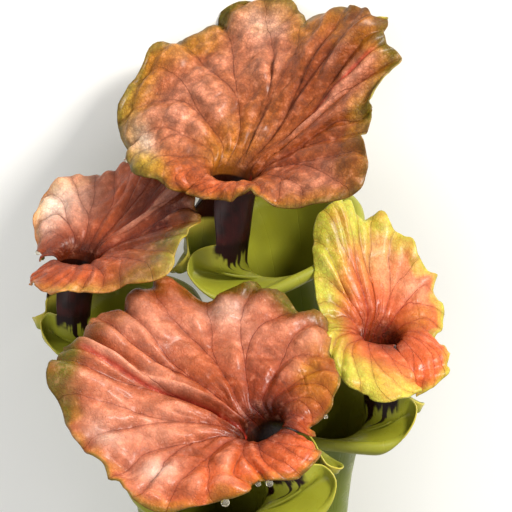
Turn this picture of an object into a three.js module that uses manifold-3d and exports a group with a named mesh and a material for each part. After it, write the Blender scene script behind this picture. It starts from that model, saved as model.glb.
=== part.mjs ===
// Copper lid pitcher plant: four trumpet leaves on one rhizome with its roots, lifted whole and
// laid on a surface. Millimetres and degrees.
// The plant is described as it grew: x to the right, y away, z up along the trumpets. The last
// group lays it on its back, so that the floor is z = 0 and the origin is under its middle.

import * as THREE from "three";
import Module from "manifold-3d";

const wasm = await Module();
wasm.setup();

const DEG = Math.PI / 180;
const TURN = 2 * Math.PI;

// The share of a curve's length that its direction is taken over
const NEARBY = 0.01;

// The leaf sheet and the lip that all four pitchers share
const SHEET = 1;
const LIP = { flare: 10, flareTurn: 62, roll: 7, rollTurn: 140, start: 16, spout: 1.15, spoutFrom: 0.2 };
const NECK_TURN = 130;
const FLAT_SHARE = 0.6;

// Each shoulder's outline in plan, in mouth radii behind the mouth's back and to its side, then
// the angle round the mouth where it joins the plain lip, and how soon it comes down to the lip.
// Its lip rolls out over the middle shares of its length, and only away from the seam.
const SHOULDER = {
  outline: [[-0.78, 0.05], [-0.93, 0.17], [-0.85, 0.5], [-0.42, 0.88]],
  end: 92, past: 18, settle: 0.5, rollFrom: 0.2, rollOver: 0.5, seamFrom: 2, seamOver: 6,
};
const SEAM = { half: 1, blend: 1.5, share: 0.2 };
const COLUMN_EDGE_TURN = 158;
const LOBE_SPREAD = 15;
const LID_THROAT = { front: 20, back: 9 };
const LID_BACK_CURL = 40;
const LID_RISE_POWER = 1.6;
const LID_CURL_FROM = 0.45;
const BELL = { height: 26, widening: 5 };
const TUBE_TAPER_POWER = 1.1;
const TUBE_ARRIVAL = 0.5;
const KEEL = { height: 4.5, start: 0.04, end: 0.93 };

// The directions round the lid, from its right lobe to its left one, that lidReach is given for
const LID_DIRECTIONS = [-158, -130, -100, -75, -50, -25, 0, 25, 50, 75, 100, 130, 158];

// The rhizome lies along x under the pitchers, which stand in its crown. Each ring of scars
// narrows over its steps, and the stem wavers a little to the side and up.
const RHIZOME = {
  crown: new THREE.Vector3(12, 0, -531), radius: 20, tipRadius: 9, oldEnd: -78, youngEnd: 34,
  scars: 7, scarSteps: 4, scarDepth: 0.11, swell: 1.5, tipFrom: 0.8, tipNarrowing: 0.75, sides: 14,
  waverSide: 4, waverUp: 3, sunk: 2,
};
const BASE = { radius: 5, level: -522, gap: 0.7 };
const COLLAR = { width: 4, below: 8, shoulder: 2, above: 8, topWidth: 2, sides: 16 };
const SOCKET = { height: 28, opening: 4.2, sides: 20 };

// The roots: where along the stem the first and last leave it, how far they fan out and stray,
// how much they wander on the way and how much thicker they are where they leave the stem
const ROOTS = {
  count: 14, radius: 1.5, tip: 0.8, shortest: 60, longest: 105, seed: 7, fromOldEnd: 8, fromYoungEnd: 12,
  depth: 4, fan: 1.6, fanStray: 0.7, sideStray: 0.6, sideBack: 0.75, bend: 30, wander: 3, heel: 1.6,
  steps: 7, sides: 5,
};

// The two outer roots that reach back to the surface and carry this end of the plant
const PROP = { roots: [1, 12], length: 92, side: 0.5, bend: 0 };

// How the lifted plant lies, on the back lid's edge and two outer roots: leaned back off upright,
// rolled a little, and where the middle of its underside is
const LYING = { pitch: -81.44, roll: 0.04, yaw: 0.48, middle: new THREE.Vector3(-6.89, 80.02, -286.57) };

// mouthBack is the back of the mouth, where the lip starts to flare; facing is the way that the
// mouth looks, from x towards y; lean tips the top of the tube towards x and y; base is where
// the tube stands, from the crown; lidTurn twists the lid on its column. lidRise and lidDroop are
// the angles of the lid off its column's axis, in front and behind, and lidTilt lowers its left.
const PITCHERS = [
  {
    name: "pitcher_back", colour: 0xa4643a,
    mouthBack: [-7.7, 39.1, -36.2], facing: 38, lean: [-13, -3], base: [-7, 12],
    mouthRadius: 27, neckRadius: 10, columnRadius: 8.5,
    shoulderHeight: 19, columnHeight: 44, columnStart: 20, columnLean: 28.1, columnSide: -4.7,
    lidTurn: -7.6, lidRise: 38, lidDroop: 118, lidTilt: -8,
    lidReach: [19, 17, 18, 38, 59, 64, 89, 94, 95, 79, 62, 35, 20], waves: 6, wave: 2.5,
  },
  {
    name: "pitcher_left", colour: 0xb0664a,
    mouthBack: [-75.9, 26.1, -63.6], facing: 24, lean: [-4, 0], base: [-20, 3],
    mouthRadius: 22, neckRadius: 7.5, columnRadius: 7,
    shoulderHeight: 17, columnHeight: 37, columnStart: 6, columnLean: 18.7, columnSide: 1.6,
    lidTurn: -4.3, lidRise: 38, lidDroop: 118, lidTilt: -6,
    lidReach: [24, 24, 26, 35, 49, 59, 58, 56, 54, 48, 34, 15, 12], waves: 5, wave: 2,
  },
  {
    name: "pitcher_right", colour: 0xb47c3c,
    mouthBack: [50.1, -7.9, -85], facing: 160, lean: [5, 0], base: [19, -2],
    mouthRadius: 21.5, neckRadius: 7.5, columnRadius: 7,
    shoulderHeight: 17, columnHeight: 37, columnStart: 12, columnLean: 14.8, columnSide: -16.9,
    lidTurn: -45.5, lidRise: 30, lidDroop: 118, lidTilt: 0,
    lidReach: [34, 32, 25, 36, 47, 64, 66, 46, 31, 27, 32, 41, 33], waves: 5, wave: 2,
  },
  {
    name: "pitcher_front", colour: 0xc0683f,
    mouthBack: [7.3, -59.4, -79.3], facing: 166, lean: [3, -4], base: [0, -8],
    mouthRadius: 27, neckRadius: 10, columnRadius: 8.5,
    shoulderHeight: 16, columnHeight: 29, columnStart: 24, columnLean: 30.1, columnSide: -0.3,
    lidTurn: -16.6, lidRise: 46, lidDroop: 118, lidTilt: 0,
    lidReach: [20, 22, 37, 61, 74, 84, 85, 83, 69, 57, 34, 30, 24], waves: 6, wave: 2.5,
  },
];

// How finely the sheet is divided: round the column and lid, round each shoulder and round the
// front of the mouth, then along the tube, the flare, the roll, the column and the lid
const DIVISIONS = {
  strip: 16, shoulder: 9, front: 10, tube: 6, flare: 4, roll: 3, column: 4, lid: 8,
  frontCrowding: 1.6, tubeCrowding: 1.6, integral: 240,
};
const MOUTH_ROWS = DIVISIONS.flare + DIVISIONS.roll;

// Plain number helpers

const clamp01 = (x) => Math.min(1, Math.max(0, x));

// A smooth step from 0 to 1 with level ends
const smooth = (x) => {
  const t = clamp01(x);
  return t * t * (3 - 2 * t);
};

const mix = (a, b, t) => a + (b - a) * t;

// The weights of a cubic that starts at p0 along t0 and ends at p1 along t1
const hermite = (t) => [
  2 * t ** 3 - 3 * t ** 2 + 1,
  t ** 3 - 2 * t ** 2 + t,
  -2 * t ** 3 + 3 * t ** 2,
  t ** 3 - t ** 2,
];

function hermitePoint(p0, t0, p1, t1, t) {
  const [a, b, c, d] = hermite(t);
  return p0.clone().multiplyScalar(a).addScaledVector(t0, b).addScaledVector(p1, c).addScaledVector(t1, d);
}

// A smooth curve through values at knots, read at x
function through(knots, values, x) {
  const last = knots.length - 1;
  let i = 0;
  while (i < last - 1 && x > knots[i + 1]) i += 1;
  const slope = (k) => {
    const low = Math.max(0, k - 1);
    const high = Math.min(last, k + 1);
    return (values[high] - values[low]) / (knots[high] - knots[low]);
  };
  const span = knots[i + 1] - knots[i];
  const [a, b, c, d] = hermite(clamp01((x - knots[i]) / span));
  return a * values[i] + b * span * slope(i) + c * values[i + 1] + d * span * slope(i + 1);
}

// Steps along a curve whose heading is given: the distance sideways and the distance along
function walk(length, heading, steps = DIVISIONS.integral) {
  const side = [0];
  const along = [0];
  const step = length / steps;
  for (let k = 0; k < steps; k += 1) {
    const angle = heading((k + 0.5) * step) * DEG;
    side.push(side[k] + Math.sin(angle) * step);
    along.push(along[k] + Math.cos(angle) * step);
  }
  return (s) => {
    const at = Math.min(steps - 1e-9, Math.max(0, s / step));
    const k = Math.floor(at);
    return [mix(side[k], side[k + 1], at - k), mix(along[k], along[k + 1], at - k)];
  };
}

// The profile of the lip in its own plane: out from the tube and up, as it flares and rolls under
const lipProfile = walk(LIP.flare + LIP.roll, (s) => LIP.start
  + LIP.flareTurn * smooth(s / LIP.flare)
  + LIP.rollTurn * smooth((s - 0.8 * LIP.flare) / (LIP.roll + 0.2 * LIP.flare)));

function lipLevel(s) {
  const [out, up] = lipProfile(s);
  return { out, up };
}

const LIP_TOP = lipLevel(LIP.flare);

// One pitcher in its own frame: x to the middle of its mouth, y to its left, z up the tube, from
// the back of the mouth. The back wall is a strip that goes on up as the column and the lid.

// The centre line of the strip, with its own axes, at each height of the column
function columnLine(p) {
  const turnFrom = 0.5 * p.shoulderHeight;
  const direction = (h) => {
    const lean = mix(p.columnStart, p.columnLean, smooth(h / p.columnHeight)) * DEG;
    const side = p.columnSide * DEG * smooth((h - turnFrom) / (p.columnHeight - turnFrom));
    return new THREE.Vector3(Math.tan(lean), Math.sin(side), Math.cos(side)).normalize();
  };
  return (height) => {
    const point = new THREE.Vector3();
    const step = height / DIVISIONS.integral;
    for (let k = 0; k < DIVISIONS.integral; k += 1) {
      point.addScaledVector(direction((k + 0.5) * step), step);
    }
    const up = direction(height);
    const front = new THREE.Vector3(1, 0, 0);
    front.addScaledVector(up, -front.dot(up)).normalize();
    return { point, up, front, left: up.clone().cross(front) };
  };
}

// A row of points on an arc across the strip. Hollow to the front it is part of the tube's back
// wall; hollow to the back it is the open C of the neck and column.
function arcRow(frame, curvature, half) {
  const row = [];
  for (let i = 0; i <= DIVISIONS.strip; i += 1) {
    const angle = curvature * half * (2 * i / DIVISIONS.strip - 1);
    row.push(frame.point.clone()
      .addScaledVector(frame.front, -(1 - Math.cos(angle)) / curvature)
      .addScaledVector(frame.left, Math.sin(angle) / curvature));
  }
  return row;
}

// Half the width of the strip in a row: the neck's, widening to the column's rolled edges
function stripHalf(p, j) {
  const neck = NECK_TURN * DEG * p.neckRadius;
  const rim = COLUMN_EDGE_TURN * DEG * p.columnRadius;
  return mix(neck, rim, smooth((j - 0.5 * MOUTH_ROWS) / (0.5 * MOUTH_ROWS + DIVISIONS.column)));
}

// A point of the lip at an angle from the back wall
function lipPoint(p, angle, level) {
  const ahead = Math.cos(Math.PI - angle);
  const spout = mix(1, LIP.spout, smooth((ahead - LIP.spoutFrom) / (1 - LIP.spoutFrom)));
  const radius = p.mouthRadius + level.out * spout;
  return new THREE.Vector3(
    p.mouthRadius - radius * Math.cos(angle), radius * Math.sin(angle), level.up * spout);
}

// The outline of one shoulder in plan, from the neck's edge to the side of the mouth, as a curve
// of its share along
function shoulderOutline(p, inner, edge, sign) {
  const lipEnd = [0, SHOULDER.past].map((more) => lipPoint(p, (SHOULDER.end + more) * DEG, LIP_TOP));
  const points = [
    [inner.x, inner.y], [edge.x, edge.y],
    ...SHOULDER.outline.map(([x, y]) => [x * p.mouthRadius, sign * y * p.mouthRadius]),
    ...lipEnd.map((q) => [q.x, sign * q.y]),
  ];
  const knots = [0];
  for (let k = 1; k < points.length; k += 1) {
    knots.push(knots[k - 1] + Math.hypot(points[k][0] - points[k - 1][0], points[k][1] - points[k - 1][1]));
  }
  return (share) => {
    const at = mix(knots[1], knots[knots.length - 2], share);
    return new THREE.Vector2(
      through(knots, points.map((q) => q[0]), at), through(knots, points.map((q) => q[1]), at));
  };
}

// One shoulder in a row. It grows from the round tube into a pocket that bulges behind the
// column. The lip rolls out along it, except at the seam, where the two shoulders meet.
function shoulderRow(p, ends, grown, flared, rolled, sign) {
  const base = lipLevel(flared);
  const outline = shoulderOutline(p, ends.inner, ends.rolled, sign);
  const from = FLAT_SHARE * NECK_TURN * DEG * p.neckRadius / p.mouthRadius;
  const row = [];
  for (let i = 1; i <= DIVISIONS.shoulder; i += 1) {
    const t = i / DIVISIONS.shoulder;
    const round = lipPoint(p, mix(from, SHOULDER.end * DEG, t), base);
    round.y *= sign;
    round.z = mix(ends.flat.z, round.z, smooth(t / SHOULDER.settle));
    const pocket = outline(t);
    const ahead = outline(t + NEARBY).sub(outline(t - NEARBY));
    const roll = smooth((t - SHOULDER.rollFrom) / SHOULDER.rollOver)
      * smooth((Math.abs(pocket.y) - SHOULDER.seamFrom) / SHOULDER.seamOver);
    const level = lipLevel(flared + rolled * roll);
    const outward = new THREE.Vector2(-ahead.y, ahead.x).normalize().multiplyScalar(sign);
    pocket.addScaledVector(outward, level.out - base.out);
    const height = mix(ends.rolled.z, level.up, smooth(t / SHOULDER.settle));
    const point = round.lerp(new THREE.Vector3(pocket.x, pocket.y, height), grown);
    const reach = point.y * sign - SEAM.half;
    const clear = SEAM.half + 0.5 * (reach + Math.hypot(reach, SEAM.blend * grown));
    point.y = sign * mix(point.y * sign, clear, smooth(t / SEAM.share) * smooth(2 * grown - 1));
    row.push(point);
  }
  return row;
}

// The closed rows round the mouth, from the tube up to the rolled lip. Each starts with the strip.
function mouthRows(p, line) {
  const rows = [];
  for (let j = 0; j <= MOUTH_ROWS; j += 1) {
    const flared = Math.min(j, DIVISIONS.flare) / DIVISIONS.flare * LIP.flare;
    const rolled = Math.max(0, j - DIVISIONS.flare) / DIVISIONS.roll * LIP.roll;
    const grown = smooth(flared / LIP.flare);
    const level = lipLevel(flared + rolled);
    const frame = line(j / MOUTH_ROWS * p.shoulderHeight);
    const flatRow = arcRow(frame, -1 / p.mouthRadius, FLAT_SHARE * NECK_TURN * DEG * p.neckRadius);
    const rolledRow = arcRow(frame, 1 / p.neckRadius, stripHalf(p, j));
    const last = DIVISIONS.strip;
    const side = (edge, inner, sign) => {
      const ends = { flat: flatRow[edge], rolled: rolledRow[edge], inner: rolledRow[inner] };
      return shoulderRow(p, ends, grown, flared, rolled, sign);
    };
    const front = [];
    for (let i = 1; i < DIVISIONS.front; i += 1) {
      const v = 2 * i / DIVISIONS.front - 1;
      const sweep = Math.sign(v) * Math.abs(v) ** DIVISIONS.frontCrowding;
      front.push(lipPoint(p, Math.PI + sweep * (Math.PI - SHOULDER.end * DEG), level));
    }
    rows.push([
      ...flatRow.map((q, i) => q.clone().lerp(rolledRow[i], grown)),
      ...side(last, last - 2, 1), ...front, ...side(0, 2, -1).reverse(),
    ]);
  }
  return rows;
}

// The rows of the column above the lip, up to where the lid opens
function columnRows(p, line) {
  const rows = [];
  for (let k = 1; k <= DIVISIONS.column; k += 1) {
    const share = k / DIVISIONS.column;
    const height = mix(p.shoulderHeight, p.columnHeight, share);
    const curvature = mix(1 / p.neckRadius, 1 / p.columnRadius, smooth(share));
    rows.push(arcRow(line(height), curvature, stripHalf(p, MOUTH_ROWS + k)));
  }
  return rows;
}

// The rows of the lid: it opens from the column like a trumpet, rising in front and drooping
// round behind, and its margin is waved.
function lidRows(p, line) {
  const frame = line(p.columnHeight);
  const centre = frame.point.clone().addScaledVector(frame.front, -p.columnRadius);
  const rows = Array.from({ length: DIVISIONS.lid }, () => []);
  for (let i = 0; i <= DIVISIONS.strip; i += 1) {
    const direction = COLUMN_EDGE_TURN * (2 * i / DIVISIONS.strip - 1);
    const behind = Math.abs(Math.sin(direction * DEG / 2));
    const reach = through(LID_DIRECTIONS, p.lidReach, direction);
    const tilt = p.lidTilt * Math.sin(direction * DEG);
    const lean = mix(p.lidRise, p.lidDroop, behind ** LID_RISE_POWER) + tilt;
    const curl = LID_BACK_CURL * behind ** 2;
    const throat = mix(LID_THROAT.front, LID_THROAT.back, behind ** 2);
    const curled = (s) => curl * smooth((s / reach - LID_CURL_FROM) / (1 - LID_CURL_FROM));
    const heading = (s) => lean * smooth(s / throat) + curled(s);
    const profile = walk(reach, heading);
    for (let k = 1; k <= DIVISIONS.lid; k += 1) {
      const f = k / DIVISIONS.lid;
      const [out, up] = profile(f * reach);
      const swing = (direction * (1 + LOBE_SPREAD / COLUMN_EDGE_TURN * smooth(2.5 * f))
        + p.lidTurn * smooth(4 * f)) * DEG;
      const away = frame.front.clone().multiplyScalar(Math.cos(swing))
        .addScaledVector(frame.left, Math.sin(swing));
      const slope = heading(f * reach) * DEG;
      const raised = p.wave * f * f * Math.sin(p.waves * direction * DEG);
      const normal = frame.up.clone().multiplyScalar(Math.sin(slope))
        .addScaledVector(away, -Math.cos(slope));
      rows[k - 1].push(centre.clone().addScaledVector(away, p.columnRadius + out)
        .addScaledVector(frame.up, up).addScaledVector(normal, raised));
    }
  }
  return rows;
}

// Where the middle of a pitcher's base is in the plant
const baseOf = (p) => new THREE.Vector3(RHIZOME.crown.x + p.base[0], p.base[1], BASE.level);

// The pitcher's axes in the plant
function pitcherAxes(p) {
  const up = new THREE.Vector3(Math.tan(p.lean[0] * DEG), Math.tan(p.lean[1] * DEG), 1).normalize();
  const front = new THREE.Vector3(Math.cos(p.facing * DEG), Math.sin(p.facing * DEG), 0);
  front.addScaledVector(up, -front.dot(up)).normalize();
  return { up, front, left: up.clone().cross(front), origin: new THREE.Vector3(...p.mouthBack) };
}

// The rows of the tube, in the plant, from its base in the rhizome to just under the mouth. The
// tube leaves the rhizome upright and arrives in line with the mouth, widening like a trumpet.
function tubeRows(p, axes, mouthRow) {
  const base = baseOf(p);
  const mouth = axes.origin.clone().addScaledVector(axes.front, p.mouthRadius);
  const length = 1.02 * mouth.distanceTo(base);
  const start = new THREE.Vector3(0, 0, length);
  const finish = axes.up.clone().multiplyScalar(TUBE_ARRIVAL * length);
  const rows = [];
  for (let j = 0; j < DIVISIONS.tube; j += 1) {
    const share = 1 - (1 - j / DIVISIONS.tube) ** DIVISIONS.tubeCrowding;
    const centre = hermitePoint(base, start, mouth, finish, share);
    const ahead = hermitePoint(base, start, mouth, finish, share + NEARBY);
    const behind = hermitePoint(base, start, mouth, finish, share - NEARBY);
    const along = ahead.sub(behind).normalize();
    const front = axes.front.clone().addScaledVector(along, -axes.front.dot(along)).normalize();
    const left = along.clone().cross(front);
    const below = (1 - share) * length;
    const radius = BASE.radius
      + (p.mouthRadius - BELL.widening - BASE.radius) * share ** TUBE_TAPER_POWER
      + BELL.widening * Math.exp(-below / BELL.height);
    const scale = radius / p.mouthRadius;
    rows.push(mouthRow.map((q) => centre.clone()
      .addScaledVector(front, (q.x - p.mouthRadius) * scale)
      .addScaledVector(left, q.y * scale)));
  }
  return rows;
}

// Joins rows of points into one sheet of triangles, facing out of the tube
class Sheet {
  constructor() {
    this.points = [];
    this.faces = [];
  }

  addRow(row) {
    const first = this.points.length;
    this.points.push(...row);
    return row.map((_, i) => first + i);
  }

  join(lower, upper, closed) {
    const count = closed ? lower.length : lower.length - 1;
    for (let i = 0; i < count; i += 1) {
      const next = (i + 1) % lower.length;
      this.faces.push([lower[i], upper[i], upper[next]], [lower[i], upper[next], lower[next]]);
    }
  }

  normals() {
    const sums = this.points.map(() => new THREE.Vector3());
    for (const face of this.faces) {
      const [a, b, c] = face.map((k) => this.points[k]);
      const normal = b.clone().sub(a).cross(c.clone().sub(a));
      for (const k of face) sums[k].add(normal);
    }
    return sums.map((sum) => sum.normalize());
  }

  // Gives the sheet its thickness, with a wall along its free edge and a ridge where one is asked
  solid(thickness, ridge) {
    const normals = this.normals();
    const count = this.points.length;
    const half = thickness / 2;
    const outer = this.points.map((q, k) => q.clone().addScaledVector(normals[k], half + ridge(k)));
    const inner = this.points.map((q, k) => q.clone().addScaledVector(normals[k], -half));
    const faces = [...this.faces, ...this.faces.map(([a, b, c]) => [a + count, c + count, b + count])];
    const used = new Set(this.faces.flatMap(([a, b, c]) => [`${a},${b}`, `${b},${c}`, `${c},${a}`]));
    for (const [a, b, c] of this.faces) {
      for (const [from, to] of [[a, b], [b, c], [c, a]]) {
        if (used.has(`${to},${from}`)) continue;
        faces.push([to, from, from + count], [to, from + count, to + count]);
      }
    }
    return geometryOf([...outer, ...inner], faces);
  }
}

function geometryOf(points, faces) {
  const geometry = new THREE.BufferGeometry();
  const positions = points.flatMap((q) => [q.x, q.y, q.z]);
  geometry.setAttribute("position", new THREE.Float32BufferAttribute(positions, 3));
  geometry.setIndex(faces.flat());
  geometry.computeVertexNormals();
  return geometry;
}

// One pitcher: tube, mouth, column and lid as a single folded sheet with a keel down its front
function pitcherGeometry(p) {
  const line = columnLine(p);
  const axes = pitcherAxes(p);
  const place = (q) => axes.origin.clone()
    .addScaledVector(axes.front, q.x).addScaledVector(axes.left, q.y).addScaledVector(axes.up, q.z);
  const mouth = mouthRows(p, line);
  const tube = tubeRows(p, axes, mouth[0]);
  const sheet = new Sheet();
  const closed = [...tube, ...mouth.map((row) => row.map(place))].map((row) => sheet.addRow(row));
  for (let j = 1; j < closed.length; j += 1) sheet.join(closed[j - 1], closed[j], true);
  const foot = tube[0].reduce((sum, q) => sum.add(q), new THREE.Vector3()).divideScalar(tube[0].length);
  const [bottom] = sheet.addRow([foot]);
  closed[0].forEach((a, i) => sheet.faces.push([a, closed[0][(i + 1) % closed[0].length], bottom]));
  let lower = closed[closed.length - 1].slice(0, DIVISIONS.strip + 1);
  for (const row of [...columnRows(p, line), ...lidRows(p, line)]) {
    const upper = sheet.addRow(row.map(place));
    sheet.join(lower, upper, false);
    lower = upper;
  }
  const width = closed[0].length;
  const keelColumn = DIVISIONS.strip + DIVISIONS.shoulder + DIVISIONS.front / 2;
  const keel = (k) => {
    const onKeel = k < width * DIVISIONS.tube && k % width === keelColumn;
    const share = Math.floor(k / width) / DIVISIONS.tube;
    return onKeel && share > KEEL.start && share < KEEL.end ? KEEL.height : 0;
  };
  return sheet.solid(SHEET, keel);
}

// The rhizome and its roots

// Random numbers in a fixed order, so that the roots always fall alike
function randomFrom(seed) {
  let state = seed;
  return () => {
    state = (state * 1664525 + 1013904223) % 4294967296;
    return state / 4294967296;
  };
}

// A closed rod with round sections along a line of points
function rod(line, radii, sides) {
  const points = [];
  const faces = [];
  const across = new THREE.Vector3(0, 1, 0);
  line.forEach((centre, j) => {
    const ahead = line[Math.min(j + 1, line.length - 1)].clone().sub(line[Math.max(j - 1, 0)]).normalize();
    across.addScaledVector(ahead, -across.dot(ahead)).normalize();
    const other = ahead.clone().cross(across);
    for (let i = 0; i < sides; i += 1) {
      const angle = TURN * i / sides;
      points.push(centre.clone()
        .addScaledVector(across, radii[j] * Math.cos(angle))
        .addScaledVector(other, radii[j] * Math.sin(angle)));
    }
  });
  for (let j = 1; j < line.length; j += 1) {
    for (let i = 0; i < sides; i += 1) {
      const next = (i + 1) % sides;
      const [a, b] = [(j - 1) * sides, j * sides];
      faces.push([a + i, a + next, b + next], [a + i, b + next, b + i]);
    }
  }
  const last = (line.length - 1) * sides;
  points.push(line[0], line[line.length - 1]);
  const [foot, tip] = [points.length - 2, points.length - 1];
  for (let i = 0; i < sides; i += 1) {
    const next = (i + 1) % sides;
    faces.push([foot, next, i], [tip, last + i, last + next]);
  }
  return manifoldOf(points, faces);
}

function manifoldOf(points, faces) {
  return new wasm.Manifold(new wasm.Mesh({
    numProp: 3,
    vertProperties: new Float32Array(points.flatMap((q) => [q.x, q.y, q.z])),
    triVerts: new Uint32Array(faces.flat()),
  }));
}

function geometryFrom(solid) {
  const mesh = solid.getMesh();
  const geometry = new THREE.BufferGeometry();
  const positions = [];
  for (let k = 0; k < mesh.numVert; k += 1) positions.push(...mesh.position(k));
  geometry.setAttribute("position", new THREE.Float32BufferAttribute(positions, 3));
  geometry.setIndex([...mesh.triVerts]);
  geometry.computeVertexNormals();
  return geometry;
}

// The stem of the rhizome, ringed by the scars of its old leaves
function rhizomeStem() {
  const steps = RHIZOME.scarSteps * RHIZOME.scars;
  const line = [];
  const radii = [];
  for (let k = 0; k <= steps; k += 1) {
    const t = k / steps;
    const x = mix(RHIZOME.oldEnd, RHIZOME.youngEnd, t);
    const wide = mix(RHIZOME.tipRadius, RHIZOME.radius, smooth(RHIZOME.swell * t));
    const blunt = 1 - RHIZOME.tipNarrowing * smooth((t - RHIZOME.tipFrom) / (1 - RHIZOME.tipFrom));
    const ring = 1 - RHIZOME.scarDepth * (k % RHIZOME.scarSteps) / RHIZOME.scarSteps;
    const side = RHIZOME.waverSide * Math.sin(3 * t);
    const up = RHIZOME.waverUp * Math.sin(5 * t + 1) - RHIZOME.sunk;
    line.push(RHIZOME.crown.clone().add(new THREE.Vector3(x, side, up)));
    radii.push(wide * Math.sqrt(blunt) * ring);
  }
  return rod(line, radii, RHIZOME.sides);
}

// The roots leave the underside all along the stem and trail down and out, kept off the floor
function roots() {
  const random = randomFrom(ROOTS.seed);
  const rods = [];
  for (let k = 0; k < ROOTS.count; k += 1) {
    const t = (k + 0.5) / ROOTS.count;
    const x = mix(RHIZOME.oldEnd + ROOTS.fromOldEnd, RHIZOME.youngEnd - ROOTS.fromYoungEnd, t);
    const isProp = PROP.roots.includes(k);
    const grown = mix(ROOTS.shortest, ROOTS.longest, random());
    const spread = ROOTS.fan * (t - 0.5) + ROOTS.fanStray * (random() - 0.5);
    const strayed = ROOTS.sideStray * (random() - ROOTS.sideBack);
    const curved = ROOTS.bend * (random() - 0.5);
    const length = isProp ? PROP.length : grown;
    const side = isProp ? PROP.side : strayed;
    const bend = isProp ? PROP.bend : curved;
    const phase = TURN * random();
    const start = RHIZOME.crown.clone().add(new THREE.Vector3(x, 0, -ROOTS.depth));
    const heading = new THREE.Vector3(spread, side, -1).normalize();
    const line = [];
    const radii = [];
    for (let j = 0; j <= ROOTS.steps; j += 1) {
      const f = j / ROOTS.steps;
      const point = start.clone().addScaledVector(heading, f * length);
      point.x += bend * f * f + ROOTS.wander * Math.sin(phase + 5 * f) * f;
      point.y += ROOTS.wander * Math.cos(phase + 4 * f) * f;
      line.push(point);
      radii.push(mix(ROOTS.radius, ROOTS.tip, f) * (j === 0 ? ROOTS.heel : 1));
    }
    rods.push(rod(line, radii, ROOTS.sides));
  }
  return rods;
}

// The socket that a pitcher's base stands in, with the collar of leaf base round it
function socket(p) {
  const at = (above) => baseOf(p).add(new THREE.Vector3(0, 0, above));
  const hole = BASE.radius + SHEET / 2 + BASE.gap;
  const wide = hole + COLLAR.width;
  return {
    collar: rod([at(-COLLAR.below), at(COLLAR.shoulder), at(COLLAR.above)],
      [wide, wide, hole + COLLAR.topWidth], COLLAR.sides),
    hole: rod([at(-SHEET / 2 - BASE.gap), at(SOCKET.height)], [hole, hole + SOCKET.opening], SOCKET.sides),
  };
}

function rhizomeGeometry() {
  const sockets = PITCHERS.map(socket);
  const grown = wasm.Manifold.union([rhizomeStem(), ...roots(), ...sockets.map((s) => s.collar)]);
  return geometryFrom(sockets.reduce((solid, s) => solid.subtract(s.hole), grown));
}

// Materials
const leafOf = (p) => new THREE.MeshStandardMaterial({ color: p.colour, roughness: 0.38, metalness: 0 });
const bark = new THREE.MeshStandardMaterial({ color: 0x5a3a22, roughness: 0.8, metalness: 0 });

// The plant as it grew
const upright = new THREE.Group();
for (const p of PITCHERS) {
  const mesh = new THREE.Mesh(pitcherGeometry(p), leafOf(p));
  mesh.name = p.name;
  upright.add(mesh);
}
const rhizome = new THREE.Mesh(rhizomeGeometry(), bark);
rhizome.name = "rhizome_and_roots";
upright.add(rhizome);
upright.position.copy(LYING.middle).negate();

// The plant laid on its back
const plant = new THREE.Group();
plant.name = "pitcher_plant";
plant.rotation.set(LYING.pitch * DEG, LYING.roll * DEG, LYING.yaw * DEG, "XYZ");
plant.add(upright);

export default plant;
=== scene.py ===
# %% [markdown]
# # Copper lid pitcher plant
# Four trumpet pitchers on one rhizome, lifted whole and laid on their back on a surface. The solids
# come in as a fixed frame. Every leaf is then made again as a much finer sheet, with its veins,
# puckers and waved margin, and the rhizome with its scars, fibres and rootlets.

import bmesh
import bpy
import numpy as np
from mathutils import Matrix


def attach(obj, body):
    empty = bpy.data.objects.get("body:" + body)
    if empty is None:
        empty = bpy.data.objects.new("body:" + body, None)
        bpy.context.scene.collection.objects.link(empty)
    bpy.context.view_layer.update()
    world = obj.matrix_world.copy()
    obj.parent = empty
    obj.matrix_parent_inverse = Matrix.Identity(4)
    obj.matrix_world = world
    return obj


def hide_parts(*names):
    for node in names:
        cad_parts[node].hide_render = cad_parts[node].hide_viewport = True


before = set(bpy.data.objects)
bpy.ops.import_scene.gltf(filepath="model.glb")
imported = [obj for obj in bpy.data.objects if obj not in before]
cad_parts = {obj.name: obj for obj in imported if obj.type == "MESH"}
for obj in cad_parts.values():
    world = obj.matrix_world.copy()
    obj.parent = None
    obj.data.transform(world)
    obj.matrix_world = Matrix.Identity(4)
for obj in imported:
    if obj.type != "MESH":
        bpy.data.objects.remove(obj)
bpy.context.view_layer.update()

# %% [markdown]
# ## Numbers and curves
# Most of the plant is written as formulas over whole arrays. These few helpers are the words that
# the formulas use: a smooth step, a mix, a smooth curve through given values, and a walk along a
# line whose heading is known, which gives the rolled and curled profiles of the leaf.

# %% Helpers for formulas
DEGREE = np.pi / 180


def smooth(x):
    """A step from 0 to 1 that starts and ends level: 3x2 - 2x3, with x held between 0 and 1."""
    t = np.clip(x, 0, 1)
    return t * t * (3 - 2 * t)


def mix(a, b, share):
    """a where share is 0, b where it is 1."""
    return a + (b - a) * share


def bump_at(x, middle, width):
    """A bell of height 1 at middle: exp(-((x - middle) / width)2)."""
    return np.exp(-((x - middle) / width) ** 2)


print("a smooth step at quarters:", smooth(np.linspace(0, 1, 5)))


# %% Curves and walks
def through(knots, values, x):
    """A cubic through the values, whose slope at a knot is that of the chord past it."""
    knots = np.asarray(knots, float)
    values = np.asarray(values, float)
    count = len(knots)
    low = np.maximum(np.arange(count) - 1, 0)
    high = np.minimum(np.arange(count) + 1, count - 1)
    slope = (values[high] - values[low]) / (knots[high] - knots[low])
    i = np.clip(np.searchsorted(knots, x, side="left") - 1, 0, count - 2)
    span = knots[i + 1] - knots[i]
    t = np.clip((x - knots[i]) / span, 0, 1)
    start = 2 * t ** 3 - 3 * t ** 2 + 1
    rise = t ** 3 - 2 * t ** 2 + t
    fall = t ** 3 - t ** 2
    return (start * values[i] + rise * span * slope[i]
            + (1 - start) * values[i + 1] + fall * span * slope[i + 1])


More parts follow.
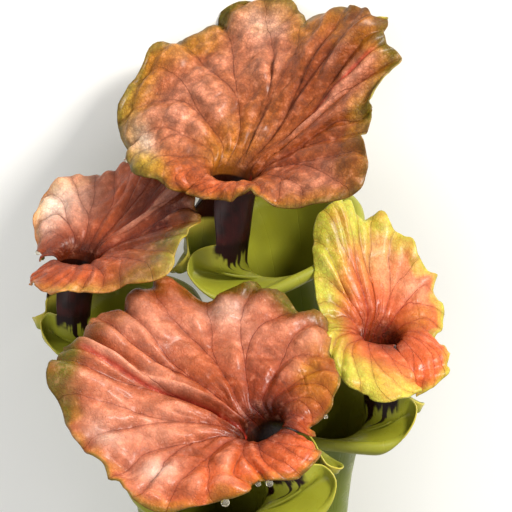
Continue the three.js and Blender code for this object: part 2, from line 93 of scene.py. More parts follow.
def walk(length, heading, steps=240):
    """The distances sideways and along, after walking shares of length with heading(share) degrees
    off straight ahead: the running sums of its sine and cosine."""
    middle = (np.arange(steps) + 0.5) / steps
    angle = heading(middle) * DEGREE
    zero = np.zeros_like(angle[:1])
    side = np.concatenate([zero, np.cumsum(np.sin(angle), 0)]) / steps * length
    along = np.concatenate([zero, np.cumsum(np.cos(angle), 0)]) / steps * length
    return side, along


def unit(vectors):
    """Each vector over its own length."""
    return vectors / np.maximum(np.linalg.norm(vectors, axis=-1, keepdims=True), 1e-12)


print("a straight walk goes", walk(1, lambda share: 0 * share)[1][-1])


# %% A soft random field
NOISE_CELLS = 32
noise_values = np.random.default_rng(11).uniform(-1, 1, (NOISE_CELLS,) * 3)


def noise(points, grain):
    """A smooth random value from -1 to 1 at each point: random numbers on the corners of cubes of
    the given grain, blended with a smooth step along each axis."""
    scaled = points / grain
    cell = np.floor(scaled).astype(int)
    part = smooth(scaled - cell)
    total = np.zeros(points.shape[:-1])
    for corner in np.ndindex(2, 2, 2):
        at = (cell + corner) % NOISE_CELLS
        share = np.prod(np.where(np.array(corner) == 1, part, 1 - part), axis=-1)
        total += share * noise_values[at[..., 0], at[..., 1], at[..., 2]]
    return total


print("noise at three points:", np.round(noise(np.eye(3) * 5, 2), 2))

# %% [markdown]
# ## From the growing plant to the lying one
# The leaves are described as they grew, in millimetres, with z up along the trumpets. The plant
# lies on its back, so one turn and one shift take every point to the frame. They are the same as
# in the solids.

# %% Place the plant
LYING_TURNS = (-81.44, 0.04, 0.48)
LYING_MIDDLE = np.array([-6.89, 80.02, -286.57])
MILLIMETRE = 0.001


def turn_matrix(x, y, z):
    """Turns about z, then y, then x, in degrees."""
    cx, cy, cz = np.cos(np.array([x, y, z]) * DEGREE)
    sx, sy, sz = np.sin(np.array([x, y, z]) * DEGREE)
    about_x = np.array([[1, 0, 0], [0, cx, -sx], [0, sx, cx]])
    about_y = np.array([[cy, 0, sy], [0, 1, 0], [-sy, 0, cy]])
    about_z = np.array([[cz, -sz, 0], [sz, cz, 0], [0, 0, 1]])
    return about_x @ about_y @ about_z


LYING = turn_matrix(*LYING_TURNS)


def laid(points):
    """Points of the growing plant, in the frame, in metres."""
    return (points - LYING_MIDDLE) @ LYING.T * MILLIMETRE


def growing(points):
    """Points of the frame in millimetres, back in the growing plant."""
    return points @ LYING + LYING_MIDDLE


print("up on the plant is", np.round(LYING @ [0, 0, 1], 2), "in the frame")

# %% [markdown]
# ## Camera
# The photograph looks down on the lids at 35 degrees, from behind the column of each pitcher, with
# a long lens. The camera takes that place relative to the growing plant and is laid with it.

# %% Set up the camera
VIEW_DOWN = 35 * DEGREE
VIEW_DISTANCE = 900.0
VIEW_HALF_WIDTH = 108.5

towards_eye = np.array([0, -np.cos(VIEW_DOWN), np.sin(VIEW_DOWN)])
view_right = np.array([1.0, 0, 0])
view_up = np.cross(towards_eye, view_right)

camera_data = bpy.data.cameras.new("camera")
camera_data.sensor_fit = "HORIZONTAL"
camera_data.angle = 2 * np.arctan(VIEW_HALF_WIDTH / VIEW_DISTANCE)
camera_data.clip_start = 0.05
camera = bpy.data.objects.new("camera", camera_data)
bpy.context.collection.objects.link(camera)
camera_axes = LYING @ np.stack([view_right, view_up, towards_eye], axis=1)
camera_matrix = np.eye(4)
camera_matrix[:3, :3] = camera_axes
camera_matrix[:3, 3] = laid(VIEW_DISTANCE * towards_eye)
camera.matrix_world = camera_matrix.T.tolist()
bpy.context.scene.camera = camera
print("camera at", camera_matrix[:3, 3])

# %% [markdown]
# ## Light
# The photograph was taken in bright light from above the lids, a little to the right. A soft lamp
# stands there, a second and larger one fills in from the camera's side, and the even white of the
# world lightens the rest. One hard sun would also do, but its shadows would hide the relief.

# %% Set up the lights
WORLD_STRENGTH = 0.62


def lamp(name, direction, distance, size, power, tint=(1, 1, 1)):
    """A square lamp of that size at the end of direction, in the growing plant's axes, that faces
    the middle of the lids."""
    data = bpy.data.lights.new(name, "AREA")
    data.size = size
    data.energy = power
    data.color = tint
    piece = bpy.data.objects.new(name, data)
    bpy.context.collection.objects.link(piece)
    away = unit(np.array(direction, float))
    right = unit(np.cross(np.array([0.0, 1, 0.01]), away))
    matrix = np.eye(4)
    matrix[:3, :3] = LYING @ np.stack([right, np.cross(away, right), away], axis=1)
    matrix[:3, 3] = laid(away * distance)
    piece.matrix_world = matrix.T.tolist()
    print(name, power, "W at", np.round(matrix[:3, 3], 2))


lamp("key_lamp", direction=(0.8, -0.28, 1), distance=1300, size=0.34, power=29, tint=(1, 0.97, 0.92))
lamp("fill_lamp", direction=(-0.5, -1, 0.4), distance=1500, size=1.2, power=8)

# Plain colours reach the picture as they are mixed, with no film curve over them
bpy.context.scene.view_settings.view_transform = "Standard"

world = bpy.data.worlds.new("white_room")
world.use_nodes = True
room = world.node_tree.nodes["Background"]
room.inputs["Color"].default_value = (1, 1, 1, 1)
room.inputs["Strength"].default_value = WORLD_STRENGTH
bpy.context.scene.world = world

# %% [markdown]
# ## Colours and nodes
# Colours are picked as sRGB hex values, the way that a paint chart gives them, and shaders work in
# linear light, so one function turns every colour. Another adds any node: a shader is then read
# as a row of calls, each with the node's kind, its settings and what goes into its sockets.

# %% Colour helpers
def linear(hex_colour):
    """sRGB hex to linear light: the usual curve, ((c + 0.055) / 1.055) to the 2.4."""
    value = np.array([int(hex_colour[i:i + 2], 16) for i in (1, 3, 5)]) / 255
    return np.where(value <= 0.04045, value / 12.92, ((value + 0.055) / 1.055) ** 2.4)


def shade(hex_colour):
    """A linear colour with full opacity, for a socket."""
    return (*linear(hex_colour), 1)


print("middle grey is", linear("#808080")[0])


# %% Node helper
def add_node(tree, kind, settings, *inputs, **named):
    """A shader node of that kind with its settings. The inputs fill its live sockets in order, and
    the named ones by name, with _ for a space. A number or colour is set, a socket is linked, and
    for a node its first live output."""
    node = tree.nodes.new("ShaderNode" + kind)
    for name, value in settings.items():
        setattr(node, name, value)
    live = [socket for socket in node.inputs if socket.enabled]
    filled = list(zip(live, inputs))
    filled += [(node.inputs[name.replace("_", " ")], value) for name, value in named.items()]
    for socket, value in filled:
        if isinstance(value, bpy.types.Node):
            value = next(output for output in value.outputs if output.enabled)
        if isinstance(value, bpy.types.NodeSocket):
            tree.links.new(value, socket)
        else:
            socket.default_value = value
    return node


def new_material(name):
    """An empty material with a Principled shader, and its tree."""
    material = bpy.data.materials.new(name)
    material.use_nodes = True
    return material, material.node_tree, material.node_tree.nodes["Principled BSDF"]


def per_grain(millimetres):
    """The scale of a pattern on Object coordinates whose grain has that real size."""
    return 1 / (millimetres * MILLIMETRE)


# Settings that come up often, by what they do
PLUS = {"operation": "ADD"}
MINUS = {"operation": "SUBTRACT"}
TIMES = {"operation": "MULTIPLY"}
TIMES_PLUS = {"operation": "MULTIPLY_ADD"}
POSITIVE = {"operation": "ABSOLUTE"}
BACK_AND_FORTH = {"operation": "PINGPONG"}
BRIGHTNESS = {"operation": "SCALE"}
EASED = {"interpolation_type": "SMOOTHSTEP"}
TINT = {"data_type": "RGBA"}
CELL_BORDERS = {"feature": "DISTANCE_TO_EDGE"}
print("a grain of 2 mm has the scale", per_grain(2))

# %% [markdown]
# ## Mesh helpers
# A numpy sheet goes into a Blender mesh in one call. Each piece keeps its object at the origin,
# rides on the one body and, if it is given one, stands for its solid.

# %% Make a piece from arrays
def quads_between(ids):
    """The quads of a grid of point numbers, each from one corner to the next row and along."""
    return np.stack([ids[:-1, :-1], ids[1:, :-1], ids[1:, 1:], ids[:-1, 1:]], -1).reshape(-1, 4)


def make_piece(name, node, points, faces, attributes, material):
    """A smooth piece in the frame: points in the growing plant's millimetres, faces as rows of corners, and
    named values for each point. A node of None makes a piece of its own."""
    mesh = bpy.data.meshes.new(name)
    mesh.from_pydata(laid(points).tolist(), [], [[int(corner) for corner in row] for row in faces])
    for title, values in attributes.items():
        kind, field = ("FLOAT_COLOR", "color") if values.shape[1] == 4 else ("FLOAT_VECTOR", "vector")
        layer = mesh.attributes.new(title, kind, "POINT")
        layer.data.foreach_set(field, values.astype(np.float32).ravel())
    mesh.shade_smooth()
    mesh.materials.append(material)
    piece = bpy.data.objects.new(name, mesh)
    bpy.context.collection.objects.link(piece)
    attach(piece, "root")
    if node:
        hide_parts(node)
    print(name, len(points), "points", sum(len(row) - 2 for row in faces), "triangles")


# %% [markdown]
# ## The four pitchers
# A pitcher is one leaf. Its tube widens to a mouth with a rolled lip, its back wall goes on up as
# a narrow column whose edges roll back, and the column opens like a trumpet into the lid. It could
# be sculpted, but as rows of points with known directions its veins stay easy to place. Each
# pitcher is given by the same sizes as its solid, in millimetres and degrees.

# %% Sizes that all pitchers share
SHEET = 0.8
SHEET_CLEARANCE = 0.5
SHEET_SETTLE = 1.2

# The lip turns out by flare_turn over its flare, then under by roll_turn
LIP = {"flare": 10, "flare_turn": 62, "roll": 7, "roll_turn": 140, "start": 16, "spout": 1.15}

# Directions are counted from the middle of the column, which is also the middle of the lid
NECK_TURN = 130
FLAT_SHARE = 0.6
COLUMN_EDGE_TURN = 158
CLOSED_TURN = 171

# The pocket beside the column, in plan, in shares of the mouth's radius
SHOULDER = [(-0.78, 0.03), (-0.96, 0.13), (-0.87, 0.47), (-0.42, 0.88)]
SHOULDER_END = 92
SHOULDER_PAST = 18
SHOULDER_ROLL = {"from": 0.14, "over": 0.4, "clear": 0.6, "clear_over": 4.5}
SEAM = {"half": 0.35, "blend": 0.8, "share": 0.2}

# The lid leans out over its throat, in front by its own rise and at its back by this droop, and
# curls at its back and again at its margin
LID_DROOP = 118
LID_THROAT = {"front": 20, "back": 9}
LID_BACK_CURL = 40
LID_CURL_FROM = 0.45
EDGE_CURL_FROM = 0.87
LID_RISE_POWER = 1.6

BELL = {"height": 26, "widening": 5}
TUBE_TAPER_POWER = 1.1
TUBE_ARRIVAL = 0.5
TUBE_LENGTH_SHARE = 1.02
KEEL = {"height": 4.5, "width": 1.6, "start": 0.04, "end": 0.93}
BASE = {"radius": 5.0, "level": -522.0}
CROWN = np.array([12.0, 0, -531])
print("a leaf is", SHEET, "mm thick, and its lip is", LIP["flare"] + LIP["roll"], "mm long")

# %% [markdown]
# ### What sets one pitcher apart
# mouth_back is the back of the mouth in the growing plant, facing the way that the mouth looks, and
# lid_reach how far the lid goes in each of the directions. A lobe is an extra reach and an edge
# curl an extra turn of the margin: each has its direction, its spread and its size. The midrib has
# a direction too, and ridge, grooves, blisters and ruffle say how strong the relief is.

# %% Sizes of each pitcher
LID_DIRECTIONS = (-158, -130, -100, -75, -50, -25, 0, 25, 50, 75, 100, 130, 158)
PITCHERS = {
    "back": {
        "mouth_back": (-7.7, 39.1, -36.2), "facing": 38, "lean": (-13, -3), "base": (-7, 12),
        "mouth_radius": 27, "neck_radius": 14, "shoulder_height": 22,
        "column_radius": 10.5, "column_height": 44, "column_start": 20, "column_lean": 28.1,
        "column_side": -4.7,
        "lid_turn": -7.6, "lid_rise": 38, "lid_tilt": -8, "lobe_spread": 20,
        "lid_reach": (19, 17, 18, 38, 59, 64, 89, 94, 95, 79, 62, 35, 20),
        "lobes": (
            (-114, 6, 2.5), (-61, 7, 8), (-41, 8, -4.5), (-23, 5, -4), (-11, 6, 7.5), (34, 5, -10.5),
            (56, 7, 5), (82, 4, 2.5), (109, 6, -3), (139, 6, -2.5),
        ),
        "edge_curls": (
            (-58, 10, 60), (-22, 7, -50), (4, 7, 75), (30, 9, 60), (66, 9, 70), (95, 12, -50),
            (125, 12, 50),
        ),
        "waves": 6, "wave": 2.5, "fold": 3.4, "midrib": -4, "ridge": 0.8, "grooves": 0.6,
        "blisters": 1.1, "ruffle": 1.1,
    },
    "left": {
        "mouth_back": (-75.9, 26.1, -63.6), "facing": 24, "lean": (-4, 0), "base": (-20, 3),
        "mouth_radius": 22, "neck_radius": 10, "shoulder_height": 19,
        "column_radius": 8.5, "column_height": 37, "column_start": 6, "column_lean": 18.7,
        "column_side": 1.6,
        "lid_turn": -4.3, "lid_rise": 38, "lid_tilt": -6, "lobe_spread": 15,
        "lid_reach": (24, 24, 26, 35, 49, 59, 58, 56, 54, 48, 34, 15, 12),
        "lobes": (
            (-144, 9, -3), (-114, 6, 2.5), (-59, 7, 8), (-5, 4, 2), (46, 7, 1.8), (70, 6, -2.2),
            (89, 4, 1.5), (111, 9, -3),
        ),
        "edge_curls": ((-60, 14, 50), (-15, 12, 40), (60, 16, 45), (98, 12, -40)),
        "waves": 5, "wave": 2, "fold": 3, "midrib": 2, "ridge": 0.6, "grooves": 0.7, "blisters": 0.7,
        "ruffle": 0.7,
    },
    "right": {
        "mouth_back": (50.1, -7.9, -85), "facing": 160, "lean": (5, 0), "base": (19, -2),
        "mouth_radius": 21.5, "neck_radius": 9.5, "shoulder_height": 19,
        "column_radius": 8, "column_height": 37, "column_start": 12, "column_lean": 14.8,
        "column_side": -16.9,
        "lid_turn": -45.5, "lid_rise": 30, "lid_tilt": 0, "lobe_spread": 21,
        "lid_reach": (34, 32, 25, 36, 47, 64, 66, 46, 31, 27, 32, 41, 33),
        "lobes": (
            (-126, 6, -2), (-101, 5, -2.2), (-62, 3, 4), (-46, 3, 3.5), (-30, 4, 3), (13, 5, 3),
            (64, 20, -2.6), (114, 8, 3.3),
        ),
        "edge_curls": ((-62, 12, 40), (-20, 12, 35), (18, 14, 60), (70, 22, 60), (120, 16, 40)),
        "waves": 5, "wave": 2, "fold": -2.5, "midrib": 0, "ridge": 0.15, "grooves": 0.5,
        "blisters": 0.55, "ruffle": 0.8,
    },
    "front": {
        "mouth_back": (7.3, -59.4, -79.3), "facing": 166, "lean": (3, -4), "base": (0, -8),
        "mouth_radius": 27, "neck_radius": 13, "shoulder_height": 18,
        "column_radius": 9.5, "column_height": 29, "column_start": 24, "column_lean": 30.1,
        "column_side": -0.3,
        "lid_turn": -16.6, "lid_rise": 46, "lid_tilt": 0, "lobe_spread": 20,
        "lid_reach": (20, 22, 37, 61, 74, 84, 85, 83, 69, 57, 34, 30, 24),
        "lobes": (
            (-148, 12, -2.5), (-110, 5, 2.2), (-93, 5, -2), (-80, 5, 2.5), (-70, 4, -4), (-60, 5, 5),
            (-42, 7, -4.5), (14, 7, 3), (50, 4, -2.8), (70, 6, 3.5), (98, 16, -4),
        ),
        "edge_curls": (
            (-72, 10, 75), (-48, 12, 80), (-22, 11, 70), (4, 10, 50), (26, 10, 40), (60, 10, -30),
            (92, 12, 40),
        ),
        "waves": 6, "wave": 2.5, "fold": 3.4, "midrib": 9, "ridge": 1.0, "grooves": 1.0,
        "blisters": 1.3, "ruffle": 0.9,
    },
}

# How finely the sheet is divided: across the strip that becomes column and lid, along each
# shoulder and round the front, then along the tube, the flare, the roll, the column and the lid
GRID = {
    "strip": 256, "shoulder": 48, "front": 72,
    "tube": 22, "flare": 12, "roll": 8, "column": 12, "lid": 96,
}
MOUTH_ROWS = GRID["flare"] + GRID["roll"]
for name, p in PITCHERS.items():
    print(name, "lid reaches", max(p["lid_reach"]), "mm, mouth radius", p["mouth_radius"], "mm")

# %% [markdown]
# ### The lip and the mouth
# The lip's profile is a short walk that turns outwards and then rolls under. It is carried round
# the front of the mouth on a circle, and round each shoulder on a curve that bulges behind the
# column, so that the mouth is heart-shaped from above.

# %% Profile of the lip
def lip_level(distance):
    """How far out and up the lip is, after that distance along its profile."""
    total = LIP["flare"] + LIP["roll"]
    early = 0.8 * LIP["flare"]

    def heading(share):
        """Degrees off straight up: the turn out over the flare, then the turn under."""
        s = share * total
        flared = LIP["flare_turn"] * smooth(s / LIP["flare"])
        return LIP["start"] + flared + LIP["roll_turn"] * smooth((s - early) / (total - early))

    out, up = walk(total, heading, 400)
    shares = np.linspace(0, total, 401)
    return np.interp(distance, shares, out), np.interp(distance, shares, up)


def lip_point(p, angle, out, up):
    """A point of the lip at an angle from the back wall, on a circle that the lip widens."""
    spout = mix(1, LIP["spout"], smooth((np.cos(np.pi - angle) - 0.2) / 0.8))
    radius = p["mouth_radius"] + out * spout
    return np.stack([p["mouth_radius"] - radius * np.cos(angle), radius * np.sin(angle), up * spout], -1)


print("the lip goes out and up by", *np.round(lip_level(LIP["flare"]), 1), "mm before it rolls")


# %% Line and width of the back strip
def column_line(p, steps=600):
    """The centre line of the back strip as it leans and turns: the running sum of its heading."""
    heights = np.linspace(0, p["column_height"], steps + 1)
    turn_from = 0.5 * p["shoulder_height"]
    lean = mix(p["column_start"], p["column_lean"], smooth(heights / p["column_height"])) * DEGREE
    turned = smooth((heights - turn_from) / (p["column_height"] - turn_from))
    side = p["column_side"] * DEGREE * turned
    heading = unit(np.stack([np.tan(lean), np.sin(side), np.cos(side)], 1))
    travelled = np.cumsum((heading[1:] + heading[:-1]) / 2, 0) * heights[1]
    middle = np.concatenate([np.zeros((1, 3)), travelled])

    def at(height):
        """The place at a height: its point, and the strip's own up, front and left."""
        up = unit(np.array([np.interp(height, heights, heading[:, i]) for i in range(3)]))
        point = np.array([np.interp(height, heights, middle[:, i]) for i in range(3)])
        front = np.array([1.0, 0, 0])
        front = unit(front - (front @ up) * up)
        return point, up, front, np.cross(up, front)

    return at


# Columns of the strip stand closer together near the midrib
even = np.linspace(-1, 1, GRID["strip"] + 1)
ACROSS = even - 0.45 * np.sin(np.pi * even) / np.pi
DIRECTION = COLUMN_EDGE_TURN * ACROSS


def arc_row(place, curvature, half):
    """A row across the strip on a circular arc: back by (1 - cos a) / k, sideways by sin a / k."""
    point, _, front, left = place
    angle = (curvature * half * ACROSS)[:, None]
    return point - (1 - np.cos(angle)) / curvature * front + np.sin(angle) / curvature * left


def strip_half(p, row):
    """Half the width of the strip, from the neck's to that of the column's rolled edges."""
    neck = NECK_TURN * DEGREE * p["neck_radius"]
    rim = CLOSED_TURN * DEGREE * p["column_radius"]
    return mix(neck, rim, smooth((row - 0.5 * MOUTH_ROWS) / (0.5 * MOUTH_ROWS + GRID["column"])))


print(len(DIRECTION), "points across the strip, from", DIRECTION[0], "to", DIRECTION[-1], "degrees")


# %% Shoulders beside the column
def shoulder_curve(p, edge, inner, sign):
    """The pocket in plan: a smooth curve from the strip's edge, out round the shoulder's corners,
    and on to the front circle. It is read at equal steps of its length."""
    share = np.arange(1, GRID["shoulder"] + 1) / GRID["shoulder"]
    top_out, _ = lip_level(LIP["flare"])
    corners = [inner[:2], edge[:2]] + [np.array([x, sign * y]) * p["mouth_radius"] for x, y in SHOULDER]
    for past in (0, SHOULDER_PAST):
        end = lip_point(p, np.array([(SHOULDER_END + past) * DEGREE]), top_out, 0)[0]
        corners.append(np.array([end[0], sign * end[1]]))
    corners = np.array(corners)
    knots = np.concatenate([[0], np.cumsum(np.linalg.norm(np.diff(corners, axis=0), axis=1))])
    at = mix(knots[1], knots[-2], share)
    return share, np.stack([through(knots, corners[:, 0], at), through(knots, corners[:, 1], at)], 1)


def shoulder_row(p, edge, inner, flat_height, grown, flared, rolled, sign):
    """One shoulder in one row: a blend from the tube's circle to the pocket's curve in plan, with
    the lip's profile carried outwards along it. Near the seam it is held clear of the middle."""
    share, pocket = shoulder_curve(p, edge, inner, sign)
    from_angle = FLAT_SHARE * NECK_TURN * DEGREE * p["neck_radius"] / p["mouth_radius"]
    base_out, base_up = lip_level(flared)
    circle = lip_point(p, mix(from_angle, SHOULDER_END * DEGREE, share), base_out, base_up)
    circle[:, 1] *= sign
    ahead = np.gradient(pocket, axis=0)
    outward = unit(np.stack([-ahead[:, 1], ahead[:, 0]], 1)) * sign
    clear = (np.abs(pocket[:, 1]) - SHOULDER_ROLL["clear"]) / SHOULDER_ROLL["clear_over"]
    roll = smooth((share - SHOULDER_ROLL["from"]) / SHOULDER_ROLL["over"]) * smooth(clear)
    lip_out, lip_up = lip_level(flared + rolled * roll)
    pocket = pocket + (lip_out - base_out)[:, None] * outward
    height = mix(edge[2], lip_up, smooth(share / 0.5))
    low_height = mix(flat_height, circle[:, 2], smooth(share / 0.5))
    row = np.zeros((len(share), 3))
    row[:, :2] = mix(circle[:, :2], pocket, grown)
    row[:, 2] = mix(low_height, height, grown)
    reach = row[:, 1] * sign - SEAM["half"]
    held_off = SEAM["half"] + 0.5 * (reach + np.hypot(reach, SEAM["blend"] * grown))
    held = smooth(share / SEAM["share"]) * smooth(2 * grown - 1)
    row[:, 1] = sign * mix(row[:, 1] * sign, held_off, held)
    return row


# %% Rows of the mouth
def mouth_rows(p, line):
    """The closed rows from the tube's top to the rolled lip. Each starts with the strip."""
    flare = np.linspace(0, LIP["flare"], GRID["flare"] + 1)
    roll = np.linspace(0, LIP["roll"], GRID["roll"] + 1)[1:]
    sweep = 2 * np.arange(1, GRID["front"]) / GRID["front"] - 1
    front_angle = np.pi * (1 + sweep * (1 - SHOULDER_END / 180))
    flat_half = FLAT_SHARE * NECK_TURN * DEGREE * p["neck_radius"]
    inner = GRID["strip"] // 8
    rows = []
    for row, distance in enumerate(np.concatenate([flare, LIP["flare"] + roll])):
        flared = min(distance, LIP["flare"])
        rolled = distance - flared
        grown = smooth(flared / LIP["flare"])
        place = line(row / MOUTH_ROWS * p["shoulder_height"])
        flat = arc_row(place, -1 / p["mouth_radius"], flat_half)
        curled = arc_row(place, 1 / p["neck_radius"], strip_half(p, row))
        sides = [
            shoulder_row(p, curled[-1], curled[-1 - inner], flat[-1][2], grown, flared, rolled, 1),
            shoulder_row(p, curled[0], curled[inner], flat[0][2], grown, flared, rolled, -1),
        ]
        front = lip_point(p, front_angle, *lip_level(distance))
        rows.append(np.concatenate([mix(flat, curled, grown), sides[0], front, sides[1][::-1]]))
    return np.array(rows)


trial = PITCHERS["back"]
print("the back mouth has rows and points", mouth_rows(trial, column_line(trial)).shape[:2])


# %% [markdown]
# ### The column and the lid
# Above the lip only the strip goes on. It is a C that is hollow to the back and nearly closed, and
# it opens like a trumpet: each direction round its axis has its own reach, its own lean and a curl,
# and the margin is waved.

# %% Column rows, and the lid's reach
def column_rows(p, line):
    """Rows of the open C between the lip and the lid."""
    rows = []
    for k in range(1, GRID["column"] + 1):
        share = k / GRID["column"]
        curvature = mix(1 / p["neck_radius"], 1 / p["column_radius"], smooth(share))
        height = mix(p["shoulder_height"], p["column_height"], share)
        rows.append(arc_row(line(height), curvature, strip_half(p, MOUTH_ROWS + k)))
    return np.array(rows)


def lid_reach(p):
    """How far the lid goes in each direction: the given reaches and lobes, a little uneven."""
    reach = through(LID_DIRECTIONS, p["lid_reach"], DIRECTION)
    for at, spread, height in p["lobes"]:
        reach = reach + height * bump_at(DIRECTION, at, spread)
    place = np.stack([DIRECTION, np.full_like(DIRECTION, p["facing"]), 0 * DIRECTION], 1)
    return reach * (1 + 0.022 * noise(place, 7) + 0.012 * noise(place, 3))


print("the back lid reaches", np.round(lid_reach(trial).max(), 1), "mm")


# %% Lid rows
def lid_heading(p, reach):
    """The heading of each direction's walk outwards: the lid's lean, taken up over the throat,
    plus the curl of its back half and of its margin."""
    behind = np.abs(np.sin(DIRECTION * DEGREE / 2))
    tilt = p["lid_tilt"] * np.sin(DIRECTION * DEGREE)
    lean = mix(p["lid_rise"], LID_DROOP, behind ** LID_RISE_POWER) + tilt
    curl = LID_BACK_CURL * behind ** 2
    edge_curl = sum(turn * bump_at(DIRECTION, at, spread) for at, spread, turn in p["edge_curls"])
    throat = mix(LID_THROAT["front"], LID_THROAT["back"], behind ** 2)

    def heading(share):
        """Degrees off the column's line after that share of the way, for every direction."""
        curled = curl * smooth((share[:, None] - LID_CURL_FROM) / (1 - LID_CURL_FROM))
        curled = curled + edge_curl * smooth((share[:, None] - EDGE_CURL_FROM) / (1 - EDGE_CURL_FROM))
        return lean * smooth(share[:, None] * reach / throat) + curled

    return heading


def lid_rows(p, line):
    """Rows of the lid: a walk outwards in each direction, and a wave that lifts the margin."""
    point, up, front, left = line(p["column_height"])
    centre = point - front * p["column_radius"]
    reach = lid_reach(p)
    heading = lid_heading(p, reach)
    finer = 5
    steps = finer * GRID["lid"]
    out, along = walk(reach, heading, steps)
    picked = np.arange(1, GRID["lid"] + 1) * finer
    share = picked[:, None] / steps
    opened = mix(CLOSED_TURN, COLUMN_EDGE_TURN + p["lobe_spread"], smooth(2.5 * share)) / COLUMN_EDGE_TURN
    swing = (DIRECTION * opened + p["lid_turn"] * smooth(4 * share)) * DEGREE
    away = np.cos(swing)[..., None] * front + np.sin(swing)[..., None] * left
    slope = heading(picked / steps) * DEGREE
    raised = p["wave"] * share ** 2 * np.sin(p["waves"] * DIRECTION * DEGREE)
    normal = np.sin(slope)[..., None] * up - np.cos(slope)[..., None] * away
    rows = centre + away * (p["column_radius"] + out[picked])[..., None] + up * along[picked][..., None]
    return rows + normal * raised[..., None], reach


print("the back lid has rows and points", lid_rows(trial, column_line(trial))[0].shape[:2])


# %% [markdown]
# ### The tube
# The tube leaves the rhizome upright and arrives in line with its mouth, on a cubic from one to
# the other. Its section is the mouth's lowest row, scaled.

# %% Tube rows
def pitcher_axes(p):
    """The pitcher's own up, front and left, and the back of its mouth, in the growing plant."""
    lean_x, lean_y = np.tan(np.array(p["lean"]) * DEGREE)
    up = unit(np.array([lean_x, lean_y, 1]))
    front = np.array([np.cos(p["facing"] * DEGREE), np.sin(p["facing"] * DEGREE), 0])
    front = unit(front - (front @ up) * up)
    return up, front, np.cross(up, front), np.array(p["mouth_back"], float)


def tube_rows(p, axes, mouth_row):
    """Rows from the base to just under the mouth, nearer together towards the mouth. The radius
    grows with a power of the way up, and a bell widens the last stretch."""
    up, front, _, origin = axes
    base = np.array([CROWN[0] + p["base"][0], p["base"][1], BASE["level"]])
    mouth = origin + front * p["mouth_radius"]
    length = TUBE_LENGTH_SHARE * np.linalg.norm(mouth - base)

    def centre(t):
        """The cubic from the base, upright, to the middle of the mouth, in line with it."""
        start = 2 * t ** 3 - 3 * t ** 2 + 1
        leave = t ** 3 - 2 * t ** 2 + t
        arrive = t ** 3 - t ** 2
        return (start * base + leave * np.array([0, 0, length]) + (1 - start) * mouth
                + arrive * up * TUBE_ARRIVAL * length)

    rows = []
    for j in range(GRID["tube"]):
        share = 1 - (1 - j / GRID["tube"]) ** 1.6
        along = unit(centre(share + 0.01) - centre(share - 0.01))
        ahead = unit(front - (front @ along) * along)
        beside = np.cross(along, ahead)
        widening = (p["mouth_radius"] - BELL["widening"] - BASE["radius"]) * share ** TUBE_TAPER_POWER
        bell = BELL["widening"] * np.exp(-(1 - share) * length / BELL["height"])
        scale = (BASE["radius"] + widening + bell) / p["mouth_radius"]
        across = (mouth_row[:, :1] - p["mouth_radius"]) * scale * ahead
        rows.append(centre(share) + across + mouth_row[:, 1:2] * scale * beside)
    return np.array(rows)


print("the back leaf's own up is", np.round(pitcher_axes(trial)[0], 3))


# %% [markdown]
# ### Where the veins run
# Veins run up the tube, through the column and out over the lid, where they fan and fork. They
# are told by a number that grows by one from vein to vein, counted from the midrib. A material
# then finds its distance from the nearest vein with no picture at all, and the mesh is grooved
# along the same lines.

# %% Vein count over the sheet
VEIN_STEP = 24.0
STRIP_VEINS = COLUMN_EDGE_TURN / VEIN_STEP
KEEL_VEIN = 12

# Each fork has the share of the lid where it starts, its length and how far it parts
FORKS = ((0.34, 0.45, 0.25),)


def vein_offset(count, share):
    """How far, in vein steps, a point is from the nearest vein: each vein forks into two that
    part to a set offset, over a share of the lid that starts at the fork."""
    gap = np.abs(count - np.round(count))
    for start, length, offset in FORKS:
        gap = np.abs(gap - offset * smooth((share - start) / length))
    return gap


def lid_vein_count(p, share):
    """The vein count of a point of the lid: its direction over the step, bent a little outwards
    with distance and varied from vein to vein."""
    direction = DIRECTION - p["midrib"]
    count = np.abs(direction) / VEIN_STEP * (1 + 0.3 * (1 - share))
    bend = 0.16 * np.sin(2.6 * direction * DEGREE + p["facing"]) * share
    sway = 0.07 * np.sin(6 * share + 0.11 * direction)
    return count + (bend + sway) * smooth(np.abs(direction) / 14)


print("veins across half a lid:", round(STRIP_VEINS, 1))


# %% [markdown]
# ### One leaf as one sheet
# The rows are joined into one sheet, and every point gets its place on the leaf, as fields: part (0
# tube, 1 mouth, 2 column, 3 lid), direction in degrees, share of the way, millimetres out over the
# lid, vein count, width of a vein step, and its column in the ring. Relief and paint read these.

# %% Fields of the leaf
OUT_IN_RING = -60.0
OUT_AT_COLUMN = -30.0


def step_width(rows, steps):
    """Millimetres to a vein step: the way to the next point over the part of a step it covers."""
    spacing = np.linalg.norm(np.diff(rows, axis=1), axis=2)
    return np.concatenate([spacing, spacing[:, -1:]], 1) / steps


def ring_fields(ring):
    """Fields of the closed rows: share -2 at the foot, -1 under the mouth and 0 at the lip. The
    veins are counted on round the front, up to the keel."""
    beyond = ring.shape[1] - len(DIRECTION)
    off_keel = np.abs(np.linspace(-1, 1, beyond + 2)[1:-1])
    front_count = KEEL_VEIN - (KEEL_VEIN - STRIP_VEINS) * off_keel
    front_step = 2 * (KEEL_VEIN - STRIP_VEINS) / (beyond + 1)
    up_the_tube = np.arange(GRID["tube"]) / GRID["tube"] - 2
    up_the_mouth = np.arange(MOUTH_ROWS + 1) / MOUTH_ROWS - 1
    share = np.concatenate([up_the_tube, up_the_mouth])[:, None]
    steps = np.concatenate([np.gradient(DIRECTION) / VEIN_STEP, np.full(beyond, front_step)])
    return {
        "part": share > -1.001,
        "direction": np.concatenate([DIRECTION, np.full(beyond, 180.0)]),
        "share": share,
        "out": OUT_IN_RING,
        "count": np.concatenate([np.abs(DIRECTION) / VEIN_STEP, front_count]),
        "step": step_width(ring, steps),
        "ring_column": np.arange(ring.shape[1]),
    }


